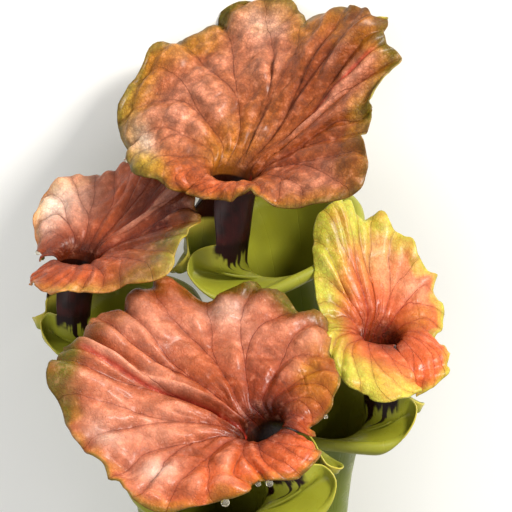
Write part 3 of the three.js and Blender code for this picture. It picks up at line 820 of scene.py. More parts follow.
def strip_fields(p, strip, reach):
    """Fields of the open rows: share 0 on the column, and 0 to 1 over the lid."""
    lid_share = np.arange(1, GRID["lid"] + 1) / GRID["lid"]
    share = np.concatenate([np.zeros(GRID["column"]), lid_share])[:, None]
    below = np.concatenate([np.linspace(OUT_AT_COLUMN, 0, GRID["column"]), 0 * lid_share])[:, None]
    plain_count = np.abs(DIRECTION) / VEIN_STEP
    return {
        "part": np.where(share > 0, 3, 2),
        "direction": DIRECTION,
        "share": share,
        "out": share * reach + below,
        "count": mix(plain_count, lid_vein_count(p, share), smooth(share * 6)),
        "step": step_width(strip, np.gradient(DIRECTION) / VEIN_STEP),
        "ring_column": -1,
    }


# %% Build the sheet
def leaf_sheet(p):
    """The pitcher's middle surface as points and quads, the fields of its points, and its foot."""
    line = column_line(p)
    axes = pitcher_axes(p)
    up, front, left, origin = axes

    def place(local):
        """From the pitcher's own front, left and up to the growing plant."""
        return origin + local[..., :1] * front + local[..., 1:2] * left + local[..., 2:3] * up

    mouth = mouth_rows(p, line)
    ring = np.concatenate([tube_rows(p, axes, mouth[0]), place(mouth)])
    lid, reach = lid_rows(p, line)
    strip = np.concatenate([place(column_rows(p, line)), place(lid)])
    in_ring = ring_fields(ring)
    in_strip = strip_fields(p, strip, reach)
    fields = {name: np.concatenate([
        np.broadcast_to(in_ring[name], ring.shape[:2]).ravel(),
        np.broadcast_to(in_strip[name], strip.shape[:2]).ravel()]).astype(float) for name in in_ring}

    ring_ids = np.arange(ring[..., 0].size).reshape(ring.shape[:2])
    strip_ids = ring_ids.size + np.arange(strip[..., 0].size).reshape(strip.shape[:2])
    closed = np.concatenate([ring_ids, ring_ids[:, :1]], 1)
    upward = np.concatenate([ring_ids[-1:, :len(DIRECTION)], strip_ids])
    quads = np.concatenate([quads_between(closed), quads_between(upward)])
    return np.concatenate([ring.reshape(-1, 3), strip.reshape(-1, 3)]), quads, fields, closed[0]


sheet_points, sheet_quads, _, _ = leaf_sheet(trial)
print("a leaf has", len(sheet_points), "points and", len(sheet_quads), "quads before its thickness")


# %% [markdown]
# ### Relief
# A lid isn't flat between its veins. A pair of ridges stands on the midrib, grooves lie on the
# veins, the leaf is puffed up between them, and the margin is ruffled. A bump in the material
# would show none of that in the outline, so the sheet itself is moved along its normals.

# %% Normals and edges of a sheet
def normals_of(points, quads):
    """Point normals: the sum of the cross products of the diagonals of the quads round a point."""
    corner = points[quads]
    crossed = np.cross(corner[:, 2] - corner[:, 0], corner[:, 3] - corner[:, 1])
    total = np.zeros_like(points)
    for k in range(4):
        np.add.at(total, quads[:, k], crossed)
    return unit(total)


def free_edges(quads, count):
    """The directed edges that only one quad has."""
    edges = np.concatenate([quads[:, [k, (k + 1) % 4]] for k in range(4)])
    codes = edges[:, 0] * count + edges[:, 1]
    back = edges[:, 1] * count + edges[:, 0]
    return edges[~np.isin(codes, back)]


def held_up(points):
    """Keeps the middle of the sheet off the surface that the plant lies on: a soft maximum of its
    height z and the clearance c, (z + c + sqrt((z - c)2 + w2)) / 2."""
    placed = laid(points) / MILLIMETRE
    above = placed[:, 2] - SHEET_CLEARANCE
    placed[:, 2] = SHEET_CLEARANCE + 0.5 * (above + np.hypot(above, SHEET_SETTLE))
    return growing(placed)


print("free edges of the sheet:", len(free_edges(sheet_quads, len(sheet_points))))


# %% How full the leaf stands between its veins
LOBES = {"from": 95, "over": 30}
BLISTER_EDGE = 3.5


def on_lobes(direction):
    """0 on the main lid, 1 on the two lobes beside the column."""
    return smooth((np.abs(direction) - LOBES["from"]) / LOBES["over"])


def vein_character(p, fields):
    """How clearly a vein shows, from 0.25 to 1: veins differ, and the midrib is always clear."""
    vein = np.round(fields["count"])
    side = np.sign(fields["direction"] - p["midrib"])
    varied = 0.62 + 0.38 * np.sin(2.3 * vein * side + p["facing"])
    return np.where(vein == 0, 1, varied)


def fullness(fields, side):
    """How full the leaf stands between its veins: 0 on a vein, about 1 on a blister. It is one less
    a bell on the vein, times a random field that is drawn out along the veins. The second value is
    the place in the finer of its two fields."""
    share = np.clip(fields["share"], 0, 1)
    from_vein = vein_offset(fields["count"], share) * fields["step"]
    across = (fields["out"] + 10) * fields["direction"] * DEGREE
    puffs = np.stack([2.2 * fields["count"], fields["out"] / 17, 5 * side], 1)
    cells = np.stack([across / 7, fields["out"] / 11, 5 * side], 1)
    puff = 0.75 + 0.9 * noise(puffs, 1) + 0.55 * noise(cells, 1)
    return (1 - bump_at(from_vein, 0, BLISTER_EDGE)) * puff, cells


print("lobes start", LOBES["from"], "degrees from the middle of the lid")


# %% Relief of the lid
# Heights and widths in millimetres
GROOVE = {"depth": 0.9, "width": 1.7}
BLISTER = {"height": 2.5, "crease": 0.4, "crease_width": 0.12}
SWELL = {"height": 3.4, "grain": 26}
LEAF_GRAIN = {"height": 0.16, "grain": 2.6}
FOLD_WIDTH = 13

# Two ridges and the slit between them: height, place beside the midrib, and width
MIDRIB = ((4.4, -2.9, 2.2), (1.2, 2.6, 1.3), (-0.6, 0.3, 0.9))
MIDRIB_END = {"from": 0.93, "over": 0.07}
MIDRIB_REACH = 0.9 * VEIN_STEP


def midrib_relief(p, fields, share, side):
    """The ridges of the midrib, which end short of the margin, and the fold that they lie in."""
    from_midrib = fields["count"] * fields["step"]
    near = np.abs(fields["direction"] - p["midrib"]) < MIDRIB_REACH
    ridge = sum(height * bump_at(from_midrib * side, at, width) for height, at, width in MIDRIB)
    ends = 1 - smooth((share - MIDRIB_END["from"]) / MIDRIB_END["over"])
    fold = p["fold"] * bump_at(from_midrib, 0, FOLD_WIDTH) * smooth(fields["out"] / 30)
    return p["ridge"] * near * ridge * ends * mix(1, 0.75, share) - fold


def margin_relief(p, fields, share, side):
    """Two waves along the margin and a crinkle that runs outwards, both growing to the edge."""
    direction = fields["direction"] * DEGREE
    ruffle = 1.7 * np.sin(8 * direction + 1.7 * p["facing"]) + 0.9 * np.sin(15 * direction + p["facing"])
    across = (fields["out"] + 10) * direction
    crinkle = noise(np.stack([across / 9, fields["out"] / 30, side], 1), 1)
    return p["ruffle"] * (1.2 * ruffle * share ** 5 + 2.6 * crinkle * share ** 4)


def lid_relief(p, points, fields):
    """Grooves, blisters, creases, broad swells, fine grain, midrib and margin, in millimetres."""
    out = fields["out"]
    share = np.clip(fields["share"], 0, 1)
    side = np.sign(fields["direction"] - p["midrib"])
    lobe = on_lobes(fields["direction"])
    from_vein = vein_offset(fields["count"], share) * fields["step"]
    veined = p["grooves"] * mix(1, 0.22, lobe) * mix(1, 0.5, share) * vein_character(p, fields)
    roomy = smooth((fields["step"] - 2.5) / 5)
    lift = -GROOVE["depth"] * veined * roomy * bump_at(from_vein, 0, GROOVE["width"])
    full, cells = fullness(fields, side)
    lift += BLISTER["height"] * p["blisters"] * full * smooth(out / 30) * mix(1, 0.6, lobe)
    crease = bump_at(noise(cells * 0.95 + 3, 1), 0, BLISTER["crease_width"])
    lift -= BLISTER["crease"] * p["blisters"] * crease * smooth(out / 24) * mix(1, 0.4, lobe)
    lift += SWELL["height"] * noise(points + 20, SWELL["grain"]) * smooth(out / 40)
    lift += LEAF_GRAIN["height"] * noise(points + 90, LEAF_GRAIN["grain"])
    return lift + midrib_relief(p, fields, share, side) + margin_relief(p, fields, share, side)


# %% Relief of the tube, and the whole sheet moved
TUBE_UNEVEN = {"height": 0.35, "grain": 9}


def keel_relief(fields):
    """The thin wing up the front of the tube, from near its foot to under its mouth."""
    middle = GRID["strip"] + 1 + GRID["shoulder"] + (GRID["front"] - 1) // 2
    share = np.clip(fields["share"] + 2, 0, 1)
    shown = smooth((share - KEEL["start"]) / 0.03) * smooth((KEEL["end"] - share) / 0.06)
    columns = np.abs(fields["ring_column"] - middle)
    away = columns * fields["step"] * 2 * (KEEL_VEIN - STRIP_VEINS) / (2 * GRID["shoulder"] + GRID["front"])
    return (fields["ring_column"] >= 0) * shown * KEEL["height"] * bump_at(away, 0, KEEL["width"])


def puckered(p, points, normal, fields):
    """Moves the middle surface along its normals, and keeps it off the ground."""
    moved = smooth(fields["out"] / 8) * (fields["part"] == 3) * lid_relief(p, points, fields)
    uneven = noise(points * np.array([1, 1, 0.3]), TUBE_UNEVEN["grain"])
    moved += (fields["part"] < 2) * TUBE_UNEVEN["height"] * uneven + keel_relief(fields)
    return held_up(points + normal * moved[:, None])


print("the keel stands", KEEL["height"], "mm off the tube")


# %% [markdown]
# ### Thickness
# A leaf's edge is round. The sheet gets an outer and an inner face and a wall with one row of
# points pushed out between them, which costs less than a bevel and follows the waved margin.

# %% Thicken the sheet
RIM_BULGE = 0.45


def thickened(points, quads, normal, foot):
    """Both faces of the sheet, a rounded wall along its free edges and a closed foot."""
    count = len(points)
    outer = points + normal * SHEET / 2
    inner = points - normal * SHEET / 2
    edges = free_edges(quads, count)
    ahead = points[edges[:, 1]] - points[edges[:, 0]]
    outward = np.zeros_like(points)
    away = np.cross(ahead, normal[edges[:, 0]])
    np.add.at(outward, edges[:, 0], away)
    np.add.at(outward, edges[:, 1], away)
    rim = np.unique(edges)
    rim_id = np.full(count, -1)
    rim_id[rim] = 2 * count + np.arange(len(rim))
    rounded = points[rim] + unit(outward[rim]) * SHEET * RIM_BULGE
    foot_edge = np.isin(edges, foot).all(axis=1)
    a, b = edges[~foot_edge].T
    walls = [
        np.stack([b, a, rim_id[a], rim_id[b]], -1),
        np.stack([rim_id[b], rim_id[a], a + count, b + count], -1),
    ]
    faces = np.concatenate([quads, quads[:, ::-1] + count, *walls])
    caps = [foot[:-1], foot[:-1][::-1] + count]
    return np.concatenate([outer, inner, rounded]), faces, caps, rim


print("the wall bulges by", SHEET * RIM_BULGE, "mm")


# %% [markdown]
# ### Colours of the leaf
# The lids are copper red with paler puffs, the tubes and mouths lime and olive, and the column carries a
# dark maroon splotch that drips into the mouth. These are laid on point by point from a few named colours
# and soft edges. Some of them are painted light: a painted highlight on the puffs and on the wax, and
# painted shade in the funnel, the throat, the hollows and the front lid's curled margin, with a painted
# shadow on the left lid. Fine veins and crackle come later, in the material.

# %% Leaf palette
# Some of these colours carry painted light as well as the leaf's own colour: the palest one, #F0DCC8, is a
# painted highlight, the broad pale sheen of the wax laid on as colour; pink is partly painted light; deep
# copper, throat, brown and olive are partly painted shade; and umber is partly a painted shadow.
LEAF_COLOURS = {
    "copper": "#9A4A24", "bronze": "#94501F", "deep_copper": "#74280C", "pink": "#CA866A",
    "orange": "#C85C2A", "amber": "#AC7014", "olive": "#52500E", "lime": "#A4A636",
    "yellow": "#CCB84C", "tube_green": "#566212", "inner_green": "#74741C", "lip": "#86862A",
    "maroon": "#481410", "splotch": "#1A0605", "throat": "#1E0702", "brown": "#64300A",
    "painted_sheen": "#F0DCC8", "umber_and_shadow": "#451408", "underside": "#98943A", "foot": "#7A4A34",
    "vein_red": "#A62A1E",
}
PAINT = {name: linear(value) for name, value in LEAF_COLOURS.items()}
print("copper in linear light", np.round(PAINT["copper"], 3))

# %% [markdown]
# ### Looks of each lid
# No two lids are coloured alike. Each has its ground colour, its margin's inner and outer colour and width,
# and how strong its pale puffs, its dark funnel and the paint of its throat are. The pale on the puffs is
# partly their own paler pink and partly painted highlight, and the dark funnel and throat are painted shade
# over the leaf's own dark red. A patch has its colour, direction, share of the way out, the spread of both,
# and its strength. Pink patches are partly the leaf's paler pink and partly painted light where a lid faces
# the lamp, the palest sheen patches are painted highlights, and the deep copper patches near the throat are
# painted shade. Late patches lie over everything but the funnel and the midrib; some of them are painted
# shade and painted shadow.

# %% Looks of each lid
LID_LOOKS = {
    "back": {
        "ground": "bronze", "margin": ("amber", "olive", 0.16),
        "puff_paint": 0.35, "shaded": 0.3, "throat_paint": 0.45,
        "patches": (
            ("pink", 75, 0.55, 22, 0.22, 0.55), ("pink", 45, 0.7, 12, 0.2, 0.5),
            ("pink", 100, 0.5, 14, 0.25, 0.4), ("deep_copper", -35, 0.45, 30, 0.35, 0.85),
            ("deep_copper", 12, 0.6, 10, 0.3, 0.5), ("brown", -20, 0.8, 25, 0.2, 0.5),
            ("pink", -62, 0.75, 16, 0.2, 0.55), ("amber", 70, 0.12, 40, 0.14, 0.9),
            ("olive", 103, 0.93, 12, 0.16, 1.0), ("amber", 90, 0.98, 30, 0.12, 0.9),
            ("lime", 96, 0.97, 7, 0.08, 0.7), ("olive", 60, 1.0, 10, 0.08, 0.8),
            ("brown", -48, 0.85, 12, 0.2, 0.6), ("brown", 5, 0.75, 8, 0.2, 0.4),
            ("brown", 0, 0.98, 18, 0.12, 0.6), ("orange", 150, 0.7, 22, 0.4, 0.7),
            ("orange", -140, 0.7, 40, 0.4, 0.8), ("lime", 125, 0.95, 12, 0.2, 0.8),
            ("painted_sheen", 112, 0.82, 8, 0.14, 0.55), ("painted_sheen", 48, 0.85, 8, 0.1, 0.4),
        ),
        "late_patches": (
            ("brown", -50, 0.9, 14, 0.14, 0.7), ("olive", -22, 0.97, 12, 0.1, 0.8),
            ("olive", 60, 0.97, 10, 0.08, 0.7), ("brown", 12, 0.95, 9, 0.1, 0.7),
        ),
    },
    "left": {
        "ground": "copper", "margin": ("pink", "amber", 0.05),
        "puff_paint": 0.25, "shaded": 0.9, "throat_paint": 0.7,
        # On this lid, the big pink patch and the pale sheen patch on its left half, and the pink of its
        # margin, are partly its own paler pink and partly painted light on the side that faces the lamp.
        "patches": (
            ("pink", 78, 0.6, 26, 0.4, 0.9), ("yellow", 95, 0.95, 22, 0.12, 0.5),
            ("orange", 40, 0.6, 12, 0.3, 0.6), ("olive", -45, 0.95, 26, 0.3, 0.85),
            ("orange", -10, 0.35, 5, 0.2, 0.8), ("orange", -110, 0.6, 40, 0.5, 0.85),
            ("orange", -158, 0.7, 20, 0.5, 0.8), ("yellow", -100, 1.0, 30, 0.14, 0.7),
            ("painted_sheen", 92, 0.75, 18, 0.24, 0.75),
        ),
        # The two dark late patches over this lid's right half are partly its own umber and partly a painted
        # shadow of the back lid.
        "late_patches": (
            ("umber_and_shadow", 4, 0.75, 20, 0.55, 0.9), ("umber_and_shadow", -24, 0.65, 22, 0.5, 0.95),
            ("olive", -46, 0.92, 15, 0.16, 0.75), ("lime", -47, 1.0, 16, 0.07, 0.6),
        ),
    },
    "right": {
        "ground": "orange", "margin": ("lime", "lime", 0.1),
        "puff_paint": 0.2, "shaded": 0.8, "throat_paint": 0.9,
        "patches": (
            ("pink", -30, 0.7, 20, 0.25, 0.8), ("pink", -60, 0.75, 16, 0.25, 0.6),
            ("lime", 0, 0.98, 34, 0.36, 1.3), ("lime", 35, 0.9, 24, 0.26, 1.2),
            ("lime", 75, 0.9, 30, 0.26, 1.0), ("lime", 115, 0.85, 25, 0.3, 1.0),
            ("yellow", 140, 0.95, 15, 0.2, 0.8), ("orange", -140, 0.6, 30, 0.5, 0.9),
            ("amber", -85, 0.6, 16, 0.3, 0.7), ("deep_copper", 0, 0.2, 30, 0.15, 0.5),
        ),
        "late_patches": (),
    },
    "front": {
        "ground": "copper", "margin": ("amber", "olive", 0.06),
        "puff_paint": 0.5, "shaded": 1.0, "throat_paint": 0.9,
        "patches": (
            ("pink", -55, 0.65, 20, 0.28, 0.7), ("pink", -85, 0.7, 10, 0.25, 0.55),
            ("pink", -18, 0.8, 18, 0.25, 0.75), ("pink", 35, 0.6, 24, 0.32, 0.75),
            ("pink", 62, 0.8, 14, 0.2, 0.8), ("amber", -100, 0.75, 14, 0.3, 0.8),
            ("orange", 100, 0.7, 30, 0.5, 0.8), ("deep_copper", -75, 0.25, 30, 0.2, 0.6),
            ("orange", 150, 0.7, 25, 0.6, 0.85), ("orange", -150, 0.7, 20, 0.5, 0.6),
            ("orange", -35, 0.95, 14, 0.12, 0.6), ("amber", -118, 0.7, 12, 0.4, 0.6),
            ("painted_sheen", 62, 0.72, 6, 0.1, 0.6), ("painted_sheen", -48, 0.82, 7, 0.1, 0.5),
            ("painted_sheen", 40, 0.85, 5, 0.08, 0.35),
        ),
        # These late brown and olive patches are partly the top margin's own brown-olive and partly painted
        # shade where the margin curls away from the light.
        "late_patches": (
            ("brown", -52, 0.93, 26, 0.1, 1.1), ("olive", -64, 0.96, 18, 0.08, 1.0),
            ("brown", -10, 0.94, 20, 0.07, 1.1), ("olive", 16, 0.96, 14, 0.07, 1.0),
        ),
    },
}
for name, look in LID_LOOKS.items():
    PITCHERS[name].update(look)
    print(name, "lid has", len(look["patches"]) + len(look["late_patches"]), "patches")


# %% Layers of paint
def blended(colour, name, weight):
    """Takes the colour towards a named one by a weight from 0 to 1."""
    return colour + (PAINT[name] - colour) * np.clip(weight, 0, 1)[:, None]


def patched(colour, patches, fields, share, rough):
    """Patches with soft, uneven edges: a bell over the directions times a bell over the share."""
    for name, at, out, spread, depth, strength in patches:
        weight = bump_at(fields["direction"], at, spread) * bump_at(share, out, depth)
        colour = blended(colour, name, strength * weight * (1 + 0.5 * rough))
    return colour


def puff_paint(p, colour, fields, share, rough, fine):
    """Pale paint on the puffs and dark paint in the hollows between them. The pale is partly the puffs' own
    paler pink and partly a painted highlight where they bulge to the light; the dark is painted shade in the
    hollows.
    """
    full, _ = fullness(fields, np.sign(fields["direction"] - p["midrib"]))
    lobe = on_lobes(fields["direction"])
    on_puffs = smooth((full + 0.3 * rough + 0.2 * fine - 0.6) / 0.8) * (1 - smooth((share - 0.86) / 0.1))
    pale = p["puff_paint"] * on_puffs * smooth(fields["out"] / 25) * mix(1, 0.3, lobe)
    hollow = 1 - smooth((full + 0.15 * fine) / 0.5)
    dark = 0.36 * p["grooves"] * hollow * smooth(fields["out"] / 20) * mix(1, 0.2, lobe)
    return blended(blended(colour, "pink", pale), "deep_copper", dark)


def margin_paint(p, colour, share, rough):
    """The two colours of the margin, the outer one with the sharper edge."""
    inner, outer, width = p["margin"]
    colour = blended(colour, inner, 0.5 * smooth((share + 0.1 * rough - 1 + 1.6 * width) / width))
    edge = (share + 0.03 * rough - 1 + 0.6 * width) / (0.6 * width)
    return blended(colour, outer, 0.8 * smooth(edge))


def midrib_paint(p, colour, fields, share):
    """A red line in the slit of the midrib, and a pale crest on the upper side of its ridge: partly the
    ridge's own paler colour and partly a painted highlight on the side that faces the light.
    """
    from_midrib = fields["count"] * fields["step"]
    past = from_midrib * np.sign(fields["direction"] - p["midrib"])
    near = np.abs(fields["direction"] - p["midrib"]) < MIDRIB_REACH
    near = near * smooth((0.97 - share) / 0.1)
    line = 0.85 * mix(0.3, 1, p["ridge"]) * near * bump_at(from_midrib, 0.2, 0.75)
    crest = 0.9 * p["ridge"] * near * bump_at(past, -3.2, 2.0) * smooth((share - 0.2) / 0.3)
    return blended(blended(colour, "vein_red", line), "pink", crest)


print("paints:", ", ".join(PAINT))


# %% Paint the upper face of the lid
def lid_colour(p, points, fields):
    """The upper face of the lid, from its ground colour up."""
    share = np.clip(fields["share"], 0, 1)
    rough = noise(points, 7)
    colour = np.tile(PAINT[p["ground"]], (len(points), 1))
    colour = blended(colour, "deep_copper", 0.35 * (0.5 + 0.5 * noise(points + 70, 16)))
    colour = patched(colour, p["patches"], fields, share, rough)
    colour = puff_paint(p, colour, fields, share, rough, noise(points + 30, 2.6))
    colour = margin_paint(p, colour, share, rough)
    colour = patched(colour, p["late_patches"], fields, share, rough)
    # Painted shade: the funnel darkens towards the throat and the throat is painted near black, over the
    # leaf's own dark red down the deep hole.
    funnel = 1 - smooth((fields["out"] - 4) / 26)
    colour = blended(colour, "deep_copper", 0.85 * p["shaded"] * funnel)
    deep = mix(4, 13, p["shaded"])
    hole = 1 - smooth((fields["out"] - deep / 4 + 3 * rough) / deep)
    colour = blended(colour, "throat", p["throat_paint"] * hole)
    return midrib_paint(p, colour, fields, share)


print("the back lid is laid on", PITCHERS["back"]["ground"])


# %% Paint the tube, the mouth and the column
def tube_colour(points, fields):
    """The outside of the tube: green, brown at its foot, and paler up to the lip."""
    in_mouth = fields["part"] == 1
    colour = np.tile(PAINT["tube_green"], (len(points), 1))
    colour = blended(colour, "lime", 0.15 + 0.2 * noise(points, 7))
    up_the_tube = np.clip(fields["share"] + 2, 0, 1)
    colour = blended(colour, "foot", 0.8 * (1 - smooth(up_the_tube / 0.16)))
    colour = blended(colour, "lip", smooth((fields["share"] + 0.75) / 0.4) * in_mouth)
    return blended(colour, "yellow", 0.45 * smooth((fields["share"] + 0.35) / 0.25) * in_mouth)


def outer_colour(p, points, fields):
    """The outside of the tube and the back of the column, and the upper face of the lid."""
    part = fields["part"][:, None]
    # The back of the column, down the throat, is painted near black: its own dark red, and painted shade in
    # the deep hole.
    below = np.where(part == 2, PAINT["throat"], tube_colour(points, fields))
    return np.where(part == 3, lid_colour(p, points, fields), below)


def under_colour(points, fields):
    """The lid's under face: olive with copper clouds, lime near the margin, dark at the column."""
    rough = noise(points, 7)
    share = np.clip(fields["share"], 0, 1)
    colour = np.tile(PAINT["underside"], (len(points), 1))
    colour = blended(colour, "copper", 0.35 + 0.3 * rough)
    colour = blended(colour, "lime", 0.5 * smooth((share - 0.75) / 0.2))
    return blended(colour, "maroon", 1 - smooth((fields["out"] - 4 + 4 * rough) / 10))


def mouth_colour(points, fields):
    """The inside of the tube and mouth. The splotch runs down from the column in ragged drips:
    threads of noise that are narrow across the leaf and long down it set how low each one goes."""
    in_mouth = fields["part"] == 1
    colour = np.tile(PAINT["inner_green"], (len(points), 1))
    colour = blended(colour, "lime", 0.12 + 0.2 * noise(points, 7))
    colour = blended(colour, "lip", smooth((fields["share"] + 0.6) / 0.35) * in_mouth)
    thread = np.stack([fields["direction"] / 17, points[:, 2] / 40, points[:, 0] * 0], -1)
    streak = 0.8 * noise(thread, 1) + 0.5 * noise(thread * 2.6 + 4, 1) + 0.2 * noise(thread * 6 + 9, 1)
    along_strip = np.abs(fields["direction"]) / COLUMN_EDGE_TURN
    low = -0.25 - 0.75 * smooth(0.35 + 1.1 * streak) * (1 - 0.6 * along_strip ** 3)
    drips = smooth((fields["share"] - low + 0.12 * noise(points + 9, 1.6)) / 0.12)
    return blended(colour, "splotch", drips * (fields["direction"] < 179) * in_mouth)


def inner_colour(points, fields):
    """The inside of the mouth, the splotched column, and the lid's under face."""
    part = fields["part"][:, None]
    column = np.tile(PAINT["splotch"], (len(points), 1))
    column = blended(column, "maroon", 0.25 + 0.4 * noise(points, 3))
    below = np.where(part == 2, column, mouth_colour(points, fields))
    return np.where(part == 3, under_colour(points, fields), below)


print("the mouth is", LEAF_COLOURS["inner_green"], "and its splotch", LEAF_COLOURS["splotch"])


# %% How strong the veins are
def vein_strength(p, outside, fields):
    """Veins fade on the lobes and where the leaf is green, differ from one to the next, and leave
    the midrib of the lid to its own paint."""
    on_lid = fields["part"] == 3
    greenness = outside[:, 1] / np.maximum(outside[:, 0], 0.01)
    strength = mix(1, 0.3, on_lobes(fields["direction"]) * on_lid)
    strength = strength * mix(1, 0.25, smooth((greenness - 0.45) / 0.4)) * vein_character(p, fields)
    return np.where((np.round(fields["count"]) == 0) & on_lid, 0.2, strength)


def leaf_attributes(p, points, fields, rim):
    """What the material reads at each point of both faces and the rim: the paint with the veins'
    strength as its fourth value, and the vein path (count, share and width of a step)."""
    outside = outer_colour(p, points, fields)
    strength = vein_strength(p, outside, fields)[:, None]
    front = np.concatenate([outside, strength], 1)
    back = np.concatenate([inner_colour(points, fields), strength], 1)
    path = np.stack([fields["count"], np.clip(fields["share"], -1, 1), fields["step"]], 1)
    return {
        "leaf_colour": np.concatenate([front, back, front[rim]]),
        "vein_path": np.concatenate([path, path, path[rim]]),
    }


print("each point carries", 4 + 3, "numbers")

# %% [markdown]
# ### Material of the leaf
# A fresh pitcher is a fleshy leaf with a waxy skin: a soft highlight on every blister and a
# sharper one on its wettest parts. Its main veins are dark red threads in shallow grooves, and
# between them a crackle of finer ones closes the net. A photograph of a leaf could be laid on it,
# but would stretch on these folds. The material finds the main veins from the vein count and draws
# the crackle as cell borders, about one and two millimetres apart as on the real leaf.

# %% Threads of the main veins
# Distances from the vein in millimetres: where the thread ends, and where its halo does
THREAD = (0.08, 0.36)
HALO = (0.3, 2.4)
HALO_STRENGTH = 0.16

# Threads show where a vein step is at least this wide, on the lid and hardly anywhere else
THREAD_ROOM = (1.5, 5.0)
INKED_OFF_LID = 0.06
INKED_ON_LID = 0.6


def main_veins(tree, place, count, share, width):
    """The vein count, a little swayed, is folded back and forth into the distance from the nearest
    vein, forked as in vein_offset and turned to millimetres. Gives the thread, from 0 to 1, and
    its soft halo."""
    wander = add_node(tree, "TexNoise", {}, Vector=place, Scale=per_grain(7), Detail=2.0)
    sway = add_node(tree, "Math", MINUS, wander, 0.5)
    swayed = add_node(tree, "Math", TIMES_PLUS, sway, 0.09, count)
    gap = add_node(tree, "Math", BACK_AND_FORTH, swayed, 0.5)
    for start, length, offset in FORKS:
        parting = add_node(tree, "MapRange", EASED, share, start, start + length, 0.0, offset)
        gap = add_node(tree, "Math", MINUS, gap, parting)
        gap = add_node(tree, "Math", POSITIVE, gap)
    from_vein = add_node(tree, "Math", TIMES, gap, width)
    roomy = add_node(tree, "MapRange", EASED, width, *THREAD_ROOM, 0.0, 1.0)
    thread = add_node(tree, "MapRange", EASED, from_vein, *THREAD, 1.0, 0.0)
    thread = add_node(tree, "Math", TIMES, thread, roomy)
    halo = add_node(tree, "MapRange", EASED, from_vein, *HALO, HALO_STRENGTH, 0.0)
    return thread, halo


def thread_weight(tree, place, thread, share, on_lid, strength):
    """How strongly the threads are inked: patchily, less towards the margin, and by the strength
    that each point carries. Off the lid they hardly show."""
    fade = add_node(tree, "TexNoise", {}, Vector=place, Scale=per_grain(12), Detail=1.0)
    patchy = add_node(tree, "MapRange", EASED, fade, 0.36, 0.6, 0.25, 1.0)
    outwards = add_node(tree, "MapRange", EASED, share, 0.45, 0.95, 1.0, 0.25)
    weight = add_node(tree, "Math", TIMES, patchy, outwards)
    weight = add_node(tree, "Math", TIMES, weight, strength)
    weight = add_node(tree, "Math", TIMES, thread, weight)
    inked = add_node(tree, "MapRange", EASED, on_lid, 0.0, 1.0, INKED_OFF_LID, INKED_ON_LID)
    return add_node(tree, "Math", TIMES, weight, inked)


print("vein threads are under", 2 * THREAD[1], "mm wide")


# %% Crackle and mottling between the veins
# Cells of the crackle, in millimetres, and how soft their borders are
CRACKLE = {"coarse": (1.9, 0.16), "fine": (1.0, 0.2)}
FINE_CRACKLE = 0.5

# Grains in millimetres, and how strongly they are laid on
SPECK = 1.1
SPECK_STRENGTH = 0.3
BLOTCH = 4.5
CLOUD_STRENGTH = 0.16
PALE_CLOUD = "#E8A888"


def crackle_net(tree, place, on_lid):
    """Borders of cells in two sizes, the finer ones half as strong, on the lid alone."""
    net = {}
    for title, (size, soft) in CRACKLE.items():
        cells = add_node(tree, "TexVoronoi", CELL_BORDERS, Vector=place, Scale=per_grain(size))
        net[title] = add_node(tree, "MapRange", EASED, cells, 0.02, soft, 1.0, 0.0)
    held = {**TIMES_PLUS, "use_clamp": True}
    both = add_node(tree, "Math", held, net["fine"], FINE_CRACKLE, net["coarse"])
    return add_node(tree, "Math", TIMES, both, on_lid)


def mottled(tree, place, base, dark, on_lid, blotches):
    """The painted colour with specks in the dark colour, pale clouds, and blotches of the same
    grain as the clouds that scale its brightness up and down. Gives the grain of the specks too."""
    speckle = add_node(tree, "TexNoise", {}, Vector=place, Scale=per_grain(SPECK), Detail=4.0, Roughness=0.7)
    specks = add_node(tree, "MapRange", EASED, speckle, 0.5, 0.75, 0.0, SPECK_STRENGTH)
    specks = add_node(tree, "Math", TIMES, specks, on_lid)
    colour = add_node(tree, "Mix", TINT, specks, base, shade(dark))
    blotch = add_node(tree, "TexNoise", {}, Vector=place, Scale=per_grain(BLOTCH), Detail=3.0, Roughness=0.6)
    clouds = add_node(tree, "MapRange", EASED, blotch, 0.54, 0.74, 0.0, CLOUD_STRENGTH)
    clouds = add_node(tree, "Math", TIMES, clouds, on_lid)
    colour = add_node(tree, "Mix", TINT, clouds, colour, shade(PALE_CLOUD))
    swing = add_node(tree, "MapRange", EASED, blotch, 0.3, 0.7, -blotches, blotches)
    scale = add_node(tree, "Math", TIMES_PLUS, swing, on_lid, 1.0)
    return add_node(tree, "VectorMath", BRIGHTNESS, colour, scale), speckle


print("crackle cells are", CRACKLE["coarse"][0], "and", CRACKLE["fine"][0], "mm wide")


# %% Make the waxy leaf
# Depths in millimetres of what the bump draws, and how far the sheen's roughness swings
GROOVE_OFF_LID = -0.06
GROOVE_ON_LID = -0.28
CRACKLE_DEPTH = -0.11
SPECK_HEIGHT = 0.06
DAMP_GRAIN = 5
DAMP_SWING = 0.1

# Wax over wet flesh: about the index of water, a faint second gleam on top, and light that runs
# a millimetre or so through the thin flesh and comes out warm
WAXY_FLESH = {
    "IOR": 1.35, "Specular IOR Level": 0.25, "Coat Weight": 0.15, "Coat Roughness": 0.3,
    "Subsurface Weight": 0.12, "Subsurface Radius": (1.0, 0.5, 0.2), "Subsurface Scale": 0.0015,
}


